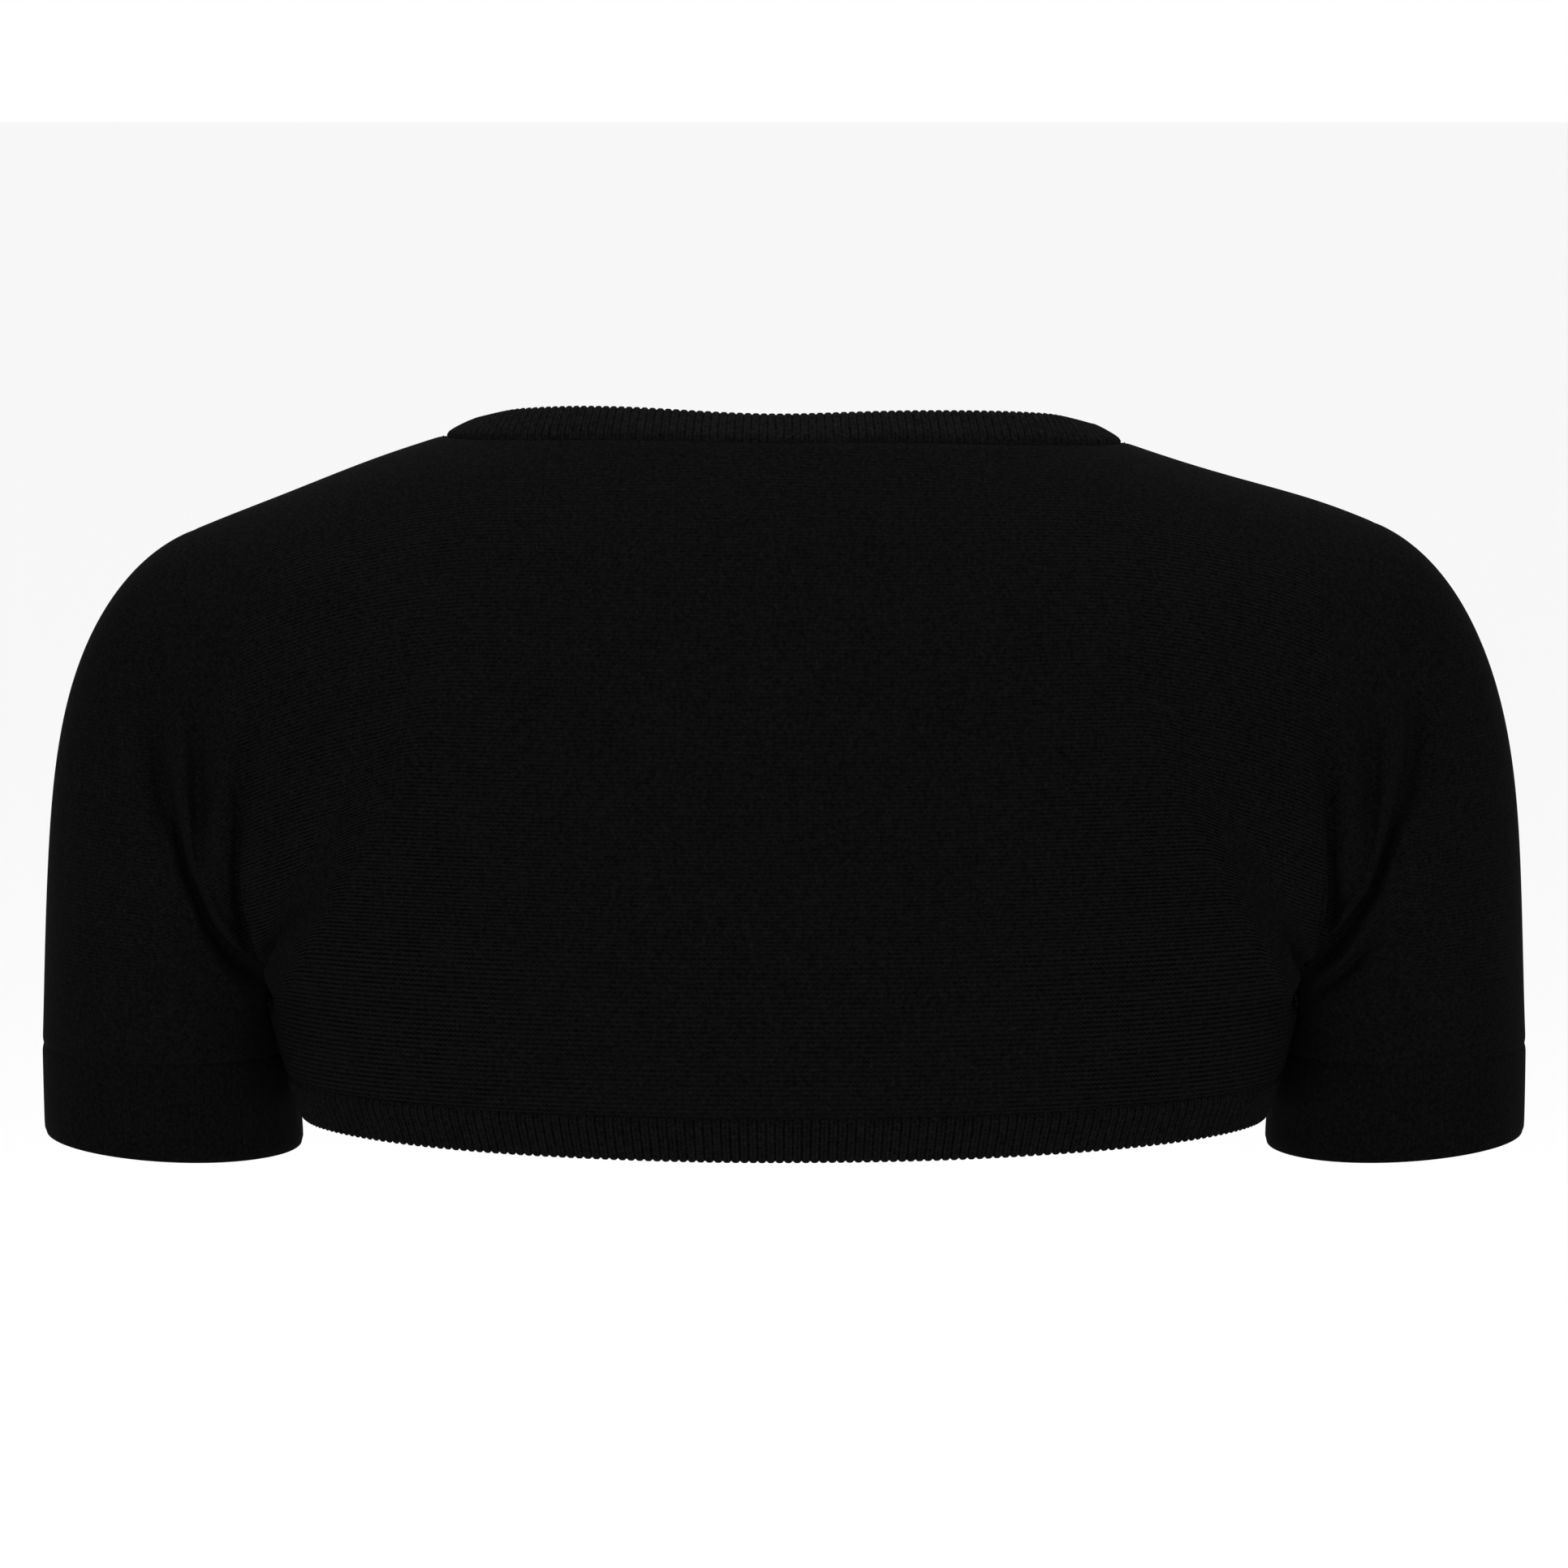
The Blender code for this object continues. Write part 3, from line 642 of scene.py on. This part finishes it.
# %% [markdown]
# ## The sleeves
#
# A sleeve is knitted from the cuff up, so its courses are level at the cuff and only turn near the armhole. The
# height of a course is therefore measured up from the cuff, along each wale, and not from the armhole. The first
# row lies on the panels' own edges and one more is tucked under them, so no slit opens at the seam.

# %% Knit the two sleeves
def armhole_edge(angles, back_edge, fore_edge):
    """Points on the panels' own edges, so that the sleeve meets them without a gap."""
    level = 1 + np.minimum(angles, 2 * np.pi - angles) / (np.pi / 2)
    behind, before = between(level, edge_levels, back_edge), between(level, edge_levels, fore_edge)
    return np.where((angles <= np.pi)[:, None], behind, before)


def knit_sleeve(name, turn, back_edge, fore_edge):
    angles = np.interp(np.linspace(0, 1, 301), [0, 0.58, 1], [0, 0.62 * np.pi, 2 * np.pi])
    shares = fine_ends(100)[:, None]
    form = turn(sleeve(angles[None, :], shares))
    outer = ease((np.abs(form[..., 0]) - 0.190) / 0.020)
    from_cuff = np.maximum(outer, ease(angles / (0.25 * np.pi) - 2.2))
    up = blend(courses(form), run(form[::-1], 0)[::-1] + 0.034, from_cuff)
    uv = np.stack([np.broadcast_to(run(form, 1)[-1:], up.shape), up], axis=-1)
    cloth = dipped(draped(form[:, :-1]), True, (0.0001, 0.0004))
    cloth[0] = armhole_edge(angles[:-1], back_edge, fore_edge)
    cloth = tucked(cloth, *beyond_seam(cloth, True), under=0.0008, below=0.0006)
    return shell(name, cloth, np.concatenate([uv[:1], uv]), True, JERSEY)


left_edges, right_edges = (back_cloth[:, -1], front_cloth_left[:, -1]), (back_cloth[:, 0], front_cloth_right[:, -1])
knit_sleeve_left = knit_sleeve("knit_sleeve_left", lambda points: points, *left_edges)
knit_sleeve_right = knit_sleeve("knit_sleeve_right", mirrored, *right_edges)

# %% [markdown]
# ## Ribs
#
# A rib is two upright wales with a shallow groove between them and a deep one beside them. The ribs notch the
# outline, so they are real relief here and not a bump. One list gives the height across a rib, which grows from
# nothing at the seam. Another list draws the free edge in between the ribs, as small scallops.

# %% Raise ribs on a grid
HEM_RIB = 0.00282
NECK_RIB = 0.00265
RIB_RELIEF = 0.0005
RIB_PROFILE = np.array([0.0, 0.55, 1.00, 0.84, 0.52, 0.84, 1.00, 0.55])
SCALLOP = np.array([0.0, 0.50, 0.85, 1.00, 1.00, 1.00, 0.85, 0.50])
SCALLOP_DEPTH = 0.0007


def even_places(points, pitch, columns):
    """Places along a densely sampled edge that divide it into whole ribs, and the number of ribs."""
    length = run(points[None], 1)[0]
    ribs = round(length[-1] / pitch)
    marks = np.linspace(0, length[-1], ribs * columns + 1)
    return np.interp(marks, length, np.arange(len(points))), ribs


def ribbed(points, closed, profile, relief, heads=0.0014, edge=0.0012):
    """The grid with ribs raised on it, which start at the first row and round off at the last."""
    height = profile[np.arange(points.shape[1]) % len(profile)]
    down = run(points, 0)
    grown = ease(down / heads) * (1 - 0.8 * ease(1 - (down[-1:] - down) / edge))
    return points + facing_out(points, closed) * (relief * height * grown)[..., None]


def scalloped(points):
    """The grid with the last rows drawn in between the ribs."""
    low = 1 - SCALLOP[np.arange(points.shape[1]) % len(SCALLOP)]
    moved = points.copy()
    for row, share in ((-1, 1.0), (-2, 0.7), (-3, 0.3)):
        moved[row] += unit(points[0] - points[-1]) * (SCALLOP_DEPTH * share * low)[:, None]
    return moved


def strip_map(form, ribs, pitch):
    """UV map of a strip: whole ribs along it and the distance from its seam, once more for the tucked row."""
    along = np.broadcast_to(np.linspace(0, ribs * pitch, form.shape[1]), form.shape[:2])
    uv = np.stack([along, run(form, 0)], axis=-1)
    return np.concatenate([uv[:1], uv])


print("Columns across a rib:", len(RIB_PROFILE))

# %% [markdown]
# ## The hem band
#
# The hem band is one strip from the right front edge round the back to the left one. It draws in a little, so its
# lower edge is shorter than the seam. Every rib makes a small scallop on that edge.

# %% Knit the hem band
def hem_form(place, level):
    """The strip at places from 0 to 1 on the right front, to 2 on the back and to 3 on the left front."""
    first = front_edge(level)
    right = mirrored(body(level, first + (1 - first) * place, False))
    behind = body(level, 2 * place - 3, True)
    left = body(level, 1 + (first - 1) * (place - 2), False)
    return np.where((place < 1)[..., None], right, np.where((place < 2)[..., None], behind, left))


dense = np.linspace(0, 3, 6001)
on_hem, hem_ribs = even_places(hem_form(dense, np.full(6001, -0.5)), HEM_RIB, len(RIB_PROFILE))
hem_places = np.interp(on_hem, np.arange(6001), dense)[None, :]
hem_levels = -np.concatenate([[0, 0.04, 0.09], np.linspace(0.15, 0.94, 9), [0.975, 1.0]])[:, None]
hem_base = hem_form(*np.broadcast_arrays(hem_places, hem_levels))
hem_cloth = dipped(draped(hem_base), False, (0.0009, 0.0004))
hem_cloth = scalloped(ribbed(hem_cloth, False, RIB_PROFILE, RIB_RELIEF))
hem_cloth = tucked(hem_cloth, *beyond_seam(hem_base, False))
knit_hem = shell("knit_hem", hem_cloth, strip_map(hem_base, hem_ribs, HEM_RIB), False, RIB_CLOTH)
print("Ribs in the hem:", hem_ribs)

# %% [markdown]
# ## The neck band
#
# This strip runs up the right front edge, round the neck and down the left front edge. It stands on from the panels
# and leans in behind the neck. Its direction comes from the seam and the cloth beside it.

# %% Knit the neck band
BAND_LIFT = math.radians(16)
BAND_LIFT_SHOULDER = math.radians(8)


def on_front(place, nudge, slide):
    """The edge of a front, up the right one at places 0 to 1 and down the left one at 2 to 3."""
    right = place < 1.5
    level = np.clip(-1 + 4 * np.where(right, place, 3 - place) + nudge, -1, 3)
    points = body(level, front_edge(level - nudge) + slide, False)
    return np.where(right[..., None], mirrored(points), points)


def on_back(place, nudge, slide):
    """The neck edge of the back, from right to left at places 1 to 2."""
    share = NECK_SHARE * np.sin(np.pi / 2 * np.clip(2 * place - 3, -1, 1))
    return body(neck_level(share) + nudge, share + slide, True)


def band_seam(place):
    """Points of the seam, and the outward direction of the panels there."""
    def on_edge(back_nudge, nudge, slide):
        behind = ((place > 1) & (place < 2))[..., None]
        return np.where(behind, on_back(place, back_nudge, slide), on_front(place, nudge, slide))

    points, lower, upper = on_edge(0, 0, 0), on_edge(-0.03, -0.03, 0), on_edge(0, 0.03, 0)
    beside = on_edge(0, 0, 0.01)
    out = unit(np.cross(upper - lower, beside - points))
    return points, out * -np.sign((out * inwards(points)).sum(axis=-1, keepdims=True))


on_band, band_ribs = even_places(band_seam(dense)[0], NECK_RIB, len(RIB_PROFILE))
band_places = np.interp(on_band, np.arange(6001), dense)
seam, up = band_seam(band_places)
along = unit(np.gradient(seam, axis=0))
up = unit(up - along * (up * along).sum(axis=-1, keepdims=True))
away = np.cross(up, along)
away *= -np.sign((away * seam * np.array([1, 1, 0])).sum())
across_neck = np.clip(np.abs(seam[:, 0]) / NECK_HALF, 0.0, 1.0)
behind_neck = blend(BAND_LIFT * ease(across_neck / 0.75), BAND_LIFT_SHOULDER, ease((across_neck - 0.8) / 0.2))
lift = np.where(seam[:, 1] > 0, behind_neck, BAND_LIFT_SHOULDER * ease((seam[:, 2] + 0.09) / 0.08))[:, None]

steps = np.concatenate([[0, 0.04, 0.09], np.linspace(0.16, 0.93, 8), [0.97, 1.0]])[:, None, None]
bulge = 0.0004 * np.sin(np.pi * steps)
band_base = seam + BAND_WIDTH * steps * (away * np.cos(lift) + up * np.sin(lift)) + bulge * up
band_cloth = dipped(draped(band_base), False, (0.0011, 0.0004))
band_cloth = scalloped(ribbed(band_cloth, False, RIB_PROFILE, RIB_RELIEF))
band_cloth = tucked(band_cloth, -away, up, under=0.0018, below=0.0013)
knit_band = shell("knit_band", band_cloth, strip_map(band_base, band_ribs, NECK_RIB), False, RIB_CLOTH)
print("Ribs in the neck band:", band_ribs)

# %% [markdown]
# ## The cuffs
#
# The cuffs are deep and much smoother than the hem: their ribs are only faint lines along the arm, and their lower
# edge is clean and a little turned in. They get the same treatment with a shallow profile.

# %% Knit the two cuffs
CUFF_RIB = 0.0027
CUFF_RELIEF = 0.00004
CUFF_PROFILE = np.array([0.0, 0.7, 1.0, 0.8, 1.0, 0.7])


def knit_cuff(name, turn):
    dense = np.linspace(0, 2 * np.pi, 3001)
    places, ribs = even_places(ring(CUFF_SEAM, dense), CUFF_RIB, len(CUFF_PROFILE))
    angles = np.interp(places, np.arange(3001), dense)
    steps = np.concatenate([[0, 0.02, 0.045], np.linspace(0.08, 0.94, 14), [0.975, 0.99, 1.0]])[:, None, None]
    form = turn(blend(ring(CUFF_SEAM, angles), ring(CUFF_END, angles), steps))
    cloth = dipped(draped(form[:, :-1]), True, (0.0004, 0.0006))
    cloth = tucked(ribbed(cloth, True, CUFF_PROFILE, CUFF_RELIEF), *beyond_seam(form[:, :-1], True))
    print("Ribs in the cuff:", ribs)
    return shell(name, cloth, strip_map(form, ribs, CUFF_RIB), True, RIB_CLOTH), cloth


knit_cuff_left, cuff_cloth_left = knit_cuff("knit_cuff_left", lambda points: points)
knit_cuff_right, cuff_cloth_right = knit_cuff("knit_cuff_right", mirrored)

# %% [markdown]
# ## Writing shader maths
#
# A material needs many small sums. Adding each Math node by hand is slow to read, so one small class wraps a socket
# and turns Python's operators into Math nodes, and one method makes every other node.

# %% A socket that does sums, and a finish
class Value:
    """An output socket. A sum on it adds a Math node."""

    def __init__(self, finish, socket):
        self.finish, self.socket = finish, socket

    def sum(self, operation, *terms):
        return self.finish.node("Math", {"operation": operation}, dict(enumerate(terms)))

    def part(self, axis):
        return self.finish.node("SeparateXYZ", {}, {0: self}, axis)

    def __add__(self, other):
        return self.sum("ADD", self, other)

    def __sub__(self, other):
        return self.sum("SUBTRACT", self, other)

    def __rsub__(self, other):
        return self.sum("SUBTRACT", other, self)

    def __mul__(self, other):
        return self.sum("MULTIPLY", self, other)

    __radd__, __rmul__ = __add__, __mul__


class Finish:
    """A material whose nodes are all made by one method."""

    def __init__(self, name):
        self.material = bpy.data.materials.new(name)
        self.material.use_nodes = True
        self.tree = self.material.node_tree
        self.shader = self.tree.nodes["Principled BSDF"]

    def node(self, kind, settings=None, inputs=None, output=0):
        made = self.tree.nodes.new("ShaderNode" + kind)
        for name, value in (settings or {}).items():
            setattr(made, name, value)
        self.feed(made, inputs or {})
        return Value(self, made.outputs[output])

    def feed(self, made, inputs):
        for name, value in inputs.items():
            if isinstance(value, Value):
                self.tree.links.new(value.socket, made.inputs[name])
            else:
                made.inputs[name].default_value = value


print("Sums such as 1 - mask * 0.5 now add their own nodes")

# %% [markdown]
# ## Plain knit
#
# Close up, plain stitch is rows of small V shapes. From afar only the courses show, as fine lines, and a fuzz of
# short fibres blurs them. The cloth is almost black, so relief alone hardly shows: the hollows between stitches are
# also painted a little darker, as painted shade. The courses are clearest low down at the sides and faint on the
# sleeves. A slight sheen stands for the fibres that catch light along the edges of the form.

# %% The jersey finish
COURSE = 0.00129
WALE = 0.00145


FIBRE = 0.0012


def fuzz(finish, size, detail):
    """Fibres at random, about 0 to 1, from the place on the object."""
    place = finish.node("TexCoord", output="Object")
    spread = {"Vector": place, "Scale": 1 / size, "Detail": detail, "Roughness": 0.6}
    return finish.node("TexNoise", {}, spread, "Fac")


def knit_map(finish, wide, high):
    """The piece's own map across and up, counted in stitches of a size."""
    place = finish.node("UVMap", {"uv_map": "knit"})
    return place.part("X") * (1 / wide), place.part("Y") * (1 / high)


def stitches(finish, wale, course, lean):
    """Height of the V-shaped stitches, 0 to 1."""
    u, v = knit_map(finish, wale, course)
    arm = u.sum("PINGPONG", u, 0.5) * (2 * lean)
    yarn = v.sum("COSINE", (v + arm) * (2 * math.pi)) * 0.5 + 0.5
    leg = u.sum("ABSOLUTE", u.sum("SINE", u * (2 * math.pi))) * 0.45 + 0.55
    return yarn * leg


def ramp(finish, value, low, high, first, last):
    """A smooth step of a value from first to last."""
    limits = {"Value": value, "From Min": low, "From Max": high, "To Min": first, "To Max": last}
    return finish.node("MapRange", {"interpolation_type": "SMOOTHSTEP"}, limits)


def clearness(finish):
    """How clearly the stitches show: best low down at the sides, less in the middle, above and on the sleeves."""
    place = finish.node("TexCoord", output="Object")
    out, height = place.part("X"), place.part("Z")
    out = out.sum("ABSOLUTE", out)
    patches = ramp(finish, fuzz(finish, 0.0045, 2.0), 0.36, 0.64, 0.5, 1.4)
    sides = ramp(finish, out, 0.05, 0.14, 0.35, 0.95) * ramp(finish, height, -0.17, -0.07, 1.15, 0.6)
    body = ramp(finish, out, 0.158, 0.166, 1.0, 0.2)
    upper = ramp(finish, height, -0.185, -0.165, 0.0, 1.0)
    return patches * sides * ramp(finish, out, 0.168, 0.182, 1.0, 0.32) * (body + (1 - body) * upper)


def dressed(finish, relief, dark, light, strength):
    """Colour, roughness and bump of a near-black knit. The relief gives the bump and also painted shade: the colour
    is darker in the hollows and grooves and lighter on the stitches. The relief and the fibres are about 0 on
    average.
    """
    fibres = fuzz(finish, FIBRE, 4.0) - 0.5
    blotches = fuzz(finish, 0.013, 2.0) - 0.5
    specks = ramp(finish, fuzz(finish, 0.0016, 1.0), 0.66, 0.74, 0.0, 0.35)
    # Painted shade: the relief darkens the colour in the hollows between stitches. The fibres, blotches and specks
    # are the yarn's own random tone.
    tone = relief + fibres * 1.5 + blotches * 0.12 + specks + 0.46
    tone = finish.node("Clamp", {}, {"Value": tone})
    greys = {6: (dark, dark, dark, 1.0), 7: (light, light, light, 1.0)}
    colour = finish.node("Mix", {"data_type": "RGBA"}, {"Factor": tone, **greys}, 2)
    bump = finish.node("Bump", {}, {"Height": relief + fibres * 0.7, "Strength": strength, "Distance": 0.0004})
    finish.feed(finish.shader, {
        "Base Color": colour,
        "Roughness": 0.9 - fibres * 0.14,
        "Normal": bump,
        "Specular IOR Level": 0.005,
        "Sheen Weight": 0.001,
        "Sheen Roughness": 0.4,
    })
    return finish.material


jersey = Finish("black_jersey_knit")
# The stitch relief makes the bump and also painted shade, darker in the hollows between stitches.
jersey_relief_and_hollow_shade = (stitches(jersey, WALE, COURSE, 0.28) - 0.36) * clearness(jersey)
jersey_material = dressed(jersey, jersey_relief_and_hollow_shade, dark=0.0004, light=0.0031, strength=0.7)
print("Nodes in the jersey:", len(jersey.tree.nodes))

# %% [markdown]
# ## Ribbed knit
#
# On the bands the same yarn stands in ribs. The relief is in the mesh, so the finish adds only the legs of the
# stitches and painted shade in the grooves. Hem, neck and cuffs differ in pitch, in clearness and in how light they
# are: the neck band is painted lighter, as painted light from above, and the cuffs darker, as painted shade.

# %% The rib finish
RIB_COURSE = 0.0012


def rib_stitches(finish, pitch):
    """Height of the two wales of each rib and of the legs on them, 0 to 1."""
    u, v = knit_map(finish, pitch, RIB_COURSE)
    groove = u.sum("PINGPONG", u, 0.5) * 2
    wale = u.sum("PINGPONG", u, 0.25) * 4
    ribs = wale.sum("SMOOTH_MIN", wale * 1.5 + groove * 0.4, 1.0, 0.3)
    arm = u.sum("PINGPONG", u, 0.5) * 1.6
    yarn = v.sum("COSINE", (v + arm) * (2 * math.pi)) * 0.22 + 0.78
    return ribs * yarn


def rib_finish(name, pitch, clear, dark, light, strength):
    finish = Finish(name)
    # The relief gives a bump and also painted shade in the grooves between ribs and stitches.
    relief = (rib_stitches(finish, pitch) - 0.60) * clear
    return dressed(finish, relief, dark, light, strength)


# The same yarn gets a different grey on each band: the hem's is a little lighter than the jersey's, the neck band's
# much lighter as painted light from above, and the cuffs' darker as painted shade.
rib_material = rib_finish("black_rib_knit", HEM_RIB, 0.6, 0.0003, 0.0038, 0.5)
neck_material_painted_light = rib_finish("black_neck_rib_knit_painted_light", NECK_RIB, 0.3, 0.0004, 0.0054, 0.5)
cuff_material_painted_shade = rib_finish("black_cuff_knit_painted_shade", CUFF_RIB, 0.14, 0.0004, 0.0028, 0.4)
print("Nodes in the rib:", len(rib_material.node_tree.nodes))

# %% [markdown]
# ## Linking stitches
#
# Bands and cuffs are joined loop by loop. From outside this shows as a row of tiny loops in the groove of the seam.
# One loop is modelled and then copied along each seam.

# %% Model one stitch
YARN = 0.00022
bpy.ops.object.select_all(action="DESELECT")
bpy.ops.mesh.primitive_cylinder_add(vertices=6, radius=YARN, depth=0.0018, rotation=(0, math.pi / 2, 0))
stitch = bpy.context.active_object
stitch.name = "one_stitch"
bpy.ops.object.transform_apply(location=False, rotation=True, scale=False)
for place in (-0.0004, 0.0004):
    bpy.ops.object.mode_set(mode="EDIT")
    bpy.ops.mesh.select_all(action="SELECT")
    bpy.ops.mesh.bisect(plane_co=(place, 0, 0), plane_no=(1, 0, 0))
    bpy.ops.object.mode_set(mode="OBJECT")
bpy.ops.object.mode_set(mode="EDIT")
bpy.ops.mesh.select_mode(type="VERT")
bpy.ops.object.mode_set(mode="OBJECT")
for vertex in stitch.data.vertices:
    vertex.select = abs(vertex.co.x) > 0.0006
bpy.ops.object.mode_set(mode="EDIT")
bpy.ops.transform.translate(value=(0, 0, -0.00035))
bpy.ops.transform.resize(value=(1, 0.7, 1))
bpy.ops.object.mode_set(mode="OBJECT")
stitch_points = np.array([vertex.co for vertex in stitch.data.vertices])
stitch_faces = [tuple(face.vertices) for face in stitch.data.polygons]
bpy.data.objects.remove(stitch)
print("Faces in one stitch:", len(stitch_faces))


# %% Copy it along the seams
def stitch_row(name, seam_points, out, pitch):
    """One object with a stitch at every step of a seam, each standing out from the cloth."""
    length = run(seam_points[None], 1)[0]
    count = round(length[-1] / pitch)
    places = (np.arange(count) + 0.5) * length[-1] / count
    at = between(places, length, seam_points)
    up = unit(between(places, length, out))
    along = unit(between(places + 0.0005, length, seam_points) - at)
    side = unit(np.cross(up, along))
    up = np.cross(along, side)
    x, y, z = stitch_points.T[:, None, :, None]
    points = (at[:, None] + along[:, None] * x + side[:, None] * y + up[:, None] * z).reshape(-1, 3)
    each = len(stitch_points)
    faces = [tuple(n * each + corner for corner in face) for n in range(count) for face in stitch_faces]
    mesh = bpy.data.meshes.new(name)
    mesh.from_pydata(points.tolist(), [], faces)
    mesh.shade_smooth()
    row = bpy.data.objects.new(name, mesh)
    scene.collection.objects.link(row)
    print(f"{name}: {count} stitches")
    return row


def seam_row(name, grid, closed, pitch=HEM_RIB, lift=-0.0001):
    """Stitches along the first seam row of a grid that has been tucked."""
    out = facing_out(grid, closed)[1]
    line = grid[1] + out * lift
    if closed:
        line, out = np.concatenate([line, line[:1]]), np.concatenate([out, out[:1]])
    return stitch_row(name, line, out, pitch)


STITCH_ROWS = [
    seam_row("stitches_hem", hem_cloth, False),
    seam_row("stitches_neck", band_cloth, False, NECK_RIB),
    seam_row("stitches_cuff_left", cuff_cloth_left, True, CUFF_RIB, -0.0002),
    seam_row("stitches_cuff_right", cuff_cloth_right, True, CUFF_RIB, -0.0002),
]

# %% [markdown]
# ## What each piece stands for
#
# Every shell replaces its plain wall and rides on the body, and its row in the table lists how large its sheet of
# cloth was before it was sewn. The sizes are measured on the shells, and a cut that isn't a rectangle gives its
# area too. The plain walls stay hidden, where the physics uses them.

Cut = namedtuple("Cut", "piece node material slot wide long area hangs_from")
CUTS = [
    Cut(knit_back, "back_panel", jersey_material, "black_jersey", 0.44, 0.26, 0.0907, ()),
    Cut(knit_front_left, "front_left", jersey_material, "black_jersey", 0.21, 0.28, 0.0313, (knit_back,)),
    Cut(knit_front_right, "front_right", jersey_material, "black_jersey", 0.21, 0.28, 0.0313, (knit_back,)),
    Cut(knit_sleeve_left, "sleeve_left", jersey_material, "black_jersey", 0.32, 0.19, 0.0374, (knit_back,)),
    Cut(knit_sleeve_right, "sleeve_right", jersey_material, "black_jersey", 0.32, 0.19, 0.0374, (knit_back,)),
    Cut(knit_cuff_left, "cuff_left", cuff_material_painted_shade, "black_rib", 0.306, 0.033, None, (knit_sleeve_left,)),
    Cut(knit_cuff_right, "cuff_right", cuff_material_painted_shade, "black_rib", 0.306, 0.033, None, (knit_sleeve_right,)),
    Cut(knit_hem, "hem_band", rib_material, "black_rib", 0.81, 0.0165, None, (knit_back,)),
    Cut(knit_band, "neck_band", neck_material_painted_light, "black_rib", 0.85, 0.0148, None, (knit_back,)),
]
for cut in CUTS:
    cut.piece.data.materials.append(cut.material)
    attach(cut.piece, "root")
    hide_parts(cut.node)
for row in STITCH_ROWS:
    row.data.materials.append(rib_material)
    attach(row, "root")
print("Pieces:", len(CUTS))

# %% [markdown]
# ## Floor and light
#
# The photograph has a pure white ground and soft light from above and both sides. The floor lies well below the
# garment, so no shadow darkens it, and the white world fills in. Two weak low lamps lighten the cuffs.

# %% Build the studio
bpy.ops.object.select_all(action="DESELECT")
bpy.ops.mesh.primitive_plane_add(size=60, location=(0, 0, -0.9))
floor = bpy.context.active_object
floor.name = "floor"
paper = Finish("white_paper")
paper.feed(paper.shader, {"Base Color": (0.93, 0.93, 0.93, 1.0), "Roughness": 0.9, "Specular IOR Level": 0.1})
floor.data.materials.append(paper.material)

world = bpy.data.worlds.new("white_room")
scene.world = world
world.use_nodes = True
world.node_tree.nodes["Background"].inputs["Color"].default_value = (1.0, 1.0, 1.0, 1.0)
world.node_tree.nodes["Background"].inputs["Strength"].default_value = 1.0

Lamp = namedtuple("Lamp", "name place aim wide power")
LAMPS = [
    Lamp("key", (0.12, 1.75, 0.10), (0.0, 0.05, -0.1), 0.8, 14.5),
    Lamp("top", (0.0, -0.80, 2.0), (0.0, 0.0, 0.0), 1.4, 46),
    Lamp("top left", (1.3, 0.3, 1.4), (0.0, 0.0, 0.0), 1.0, 20),
    Lamp("top right", (-1.3, 0.3, 1.4), (0.0, 0.0, 0.0), 1.0, 21),
    Lamp("low left", (0.8, 1.5, -0.45), (0.0, 0.0, -0.15), 0.6, 4.0),
    Lamp("low right", (-0.8, 1.5, -0.45), (0.0, 0.0, -0.15), 0.6, 3.5),
]
for lamp in LAMPS:
    data = bpy.data.lights.new(lamp.name, "AREA")
    data.size = lamp.wide
    data.energy = lamp.power
    light = bpy.data.objects.new(lamp.name, data)
    light.location = lamp.place
    light.rotation_mode = "QUATERNION"
    light.rotation_quaternion = (Vector(lamp.aim) - Vector(lamp.place)).to_track_quat("-Z", "Y")
    scene.collection.objects.link(light)
scene.view_settings.view_transform = "Standard"
print("Lamps:", [lamp.name for lamp in LAMPS])
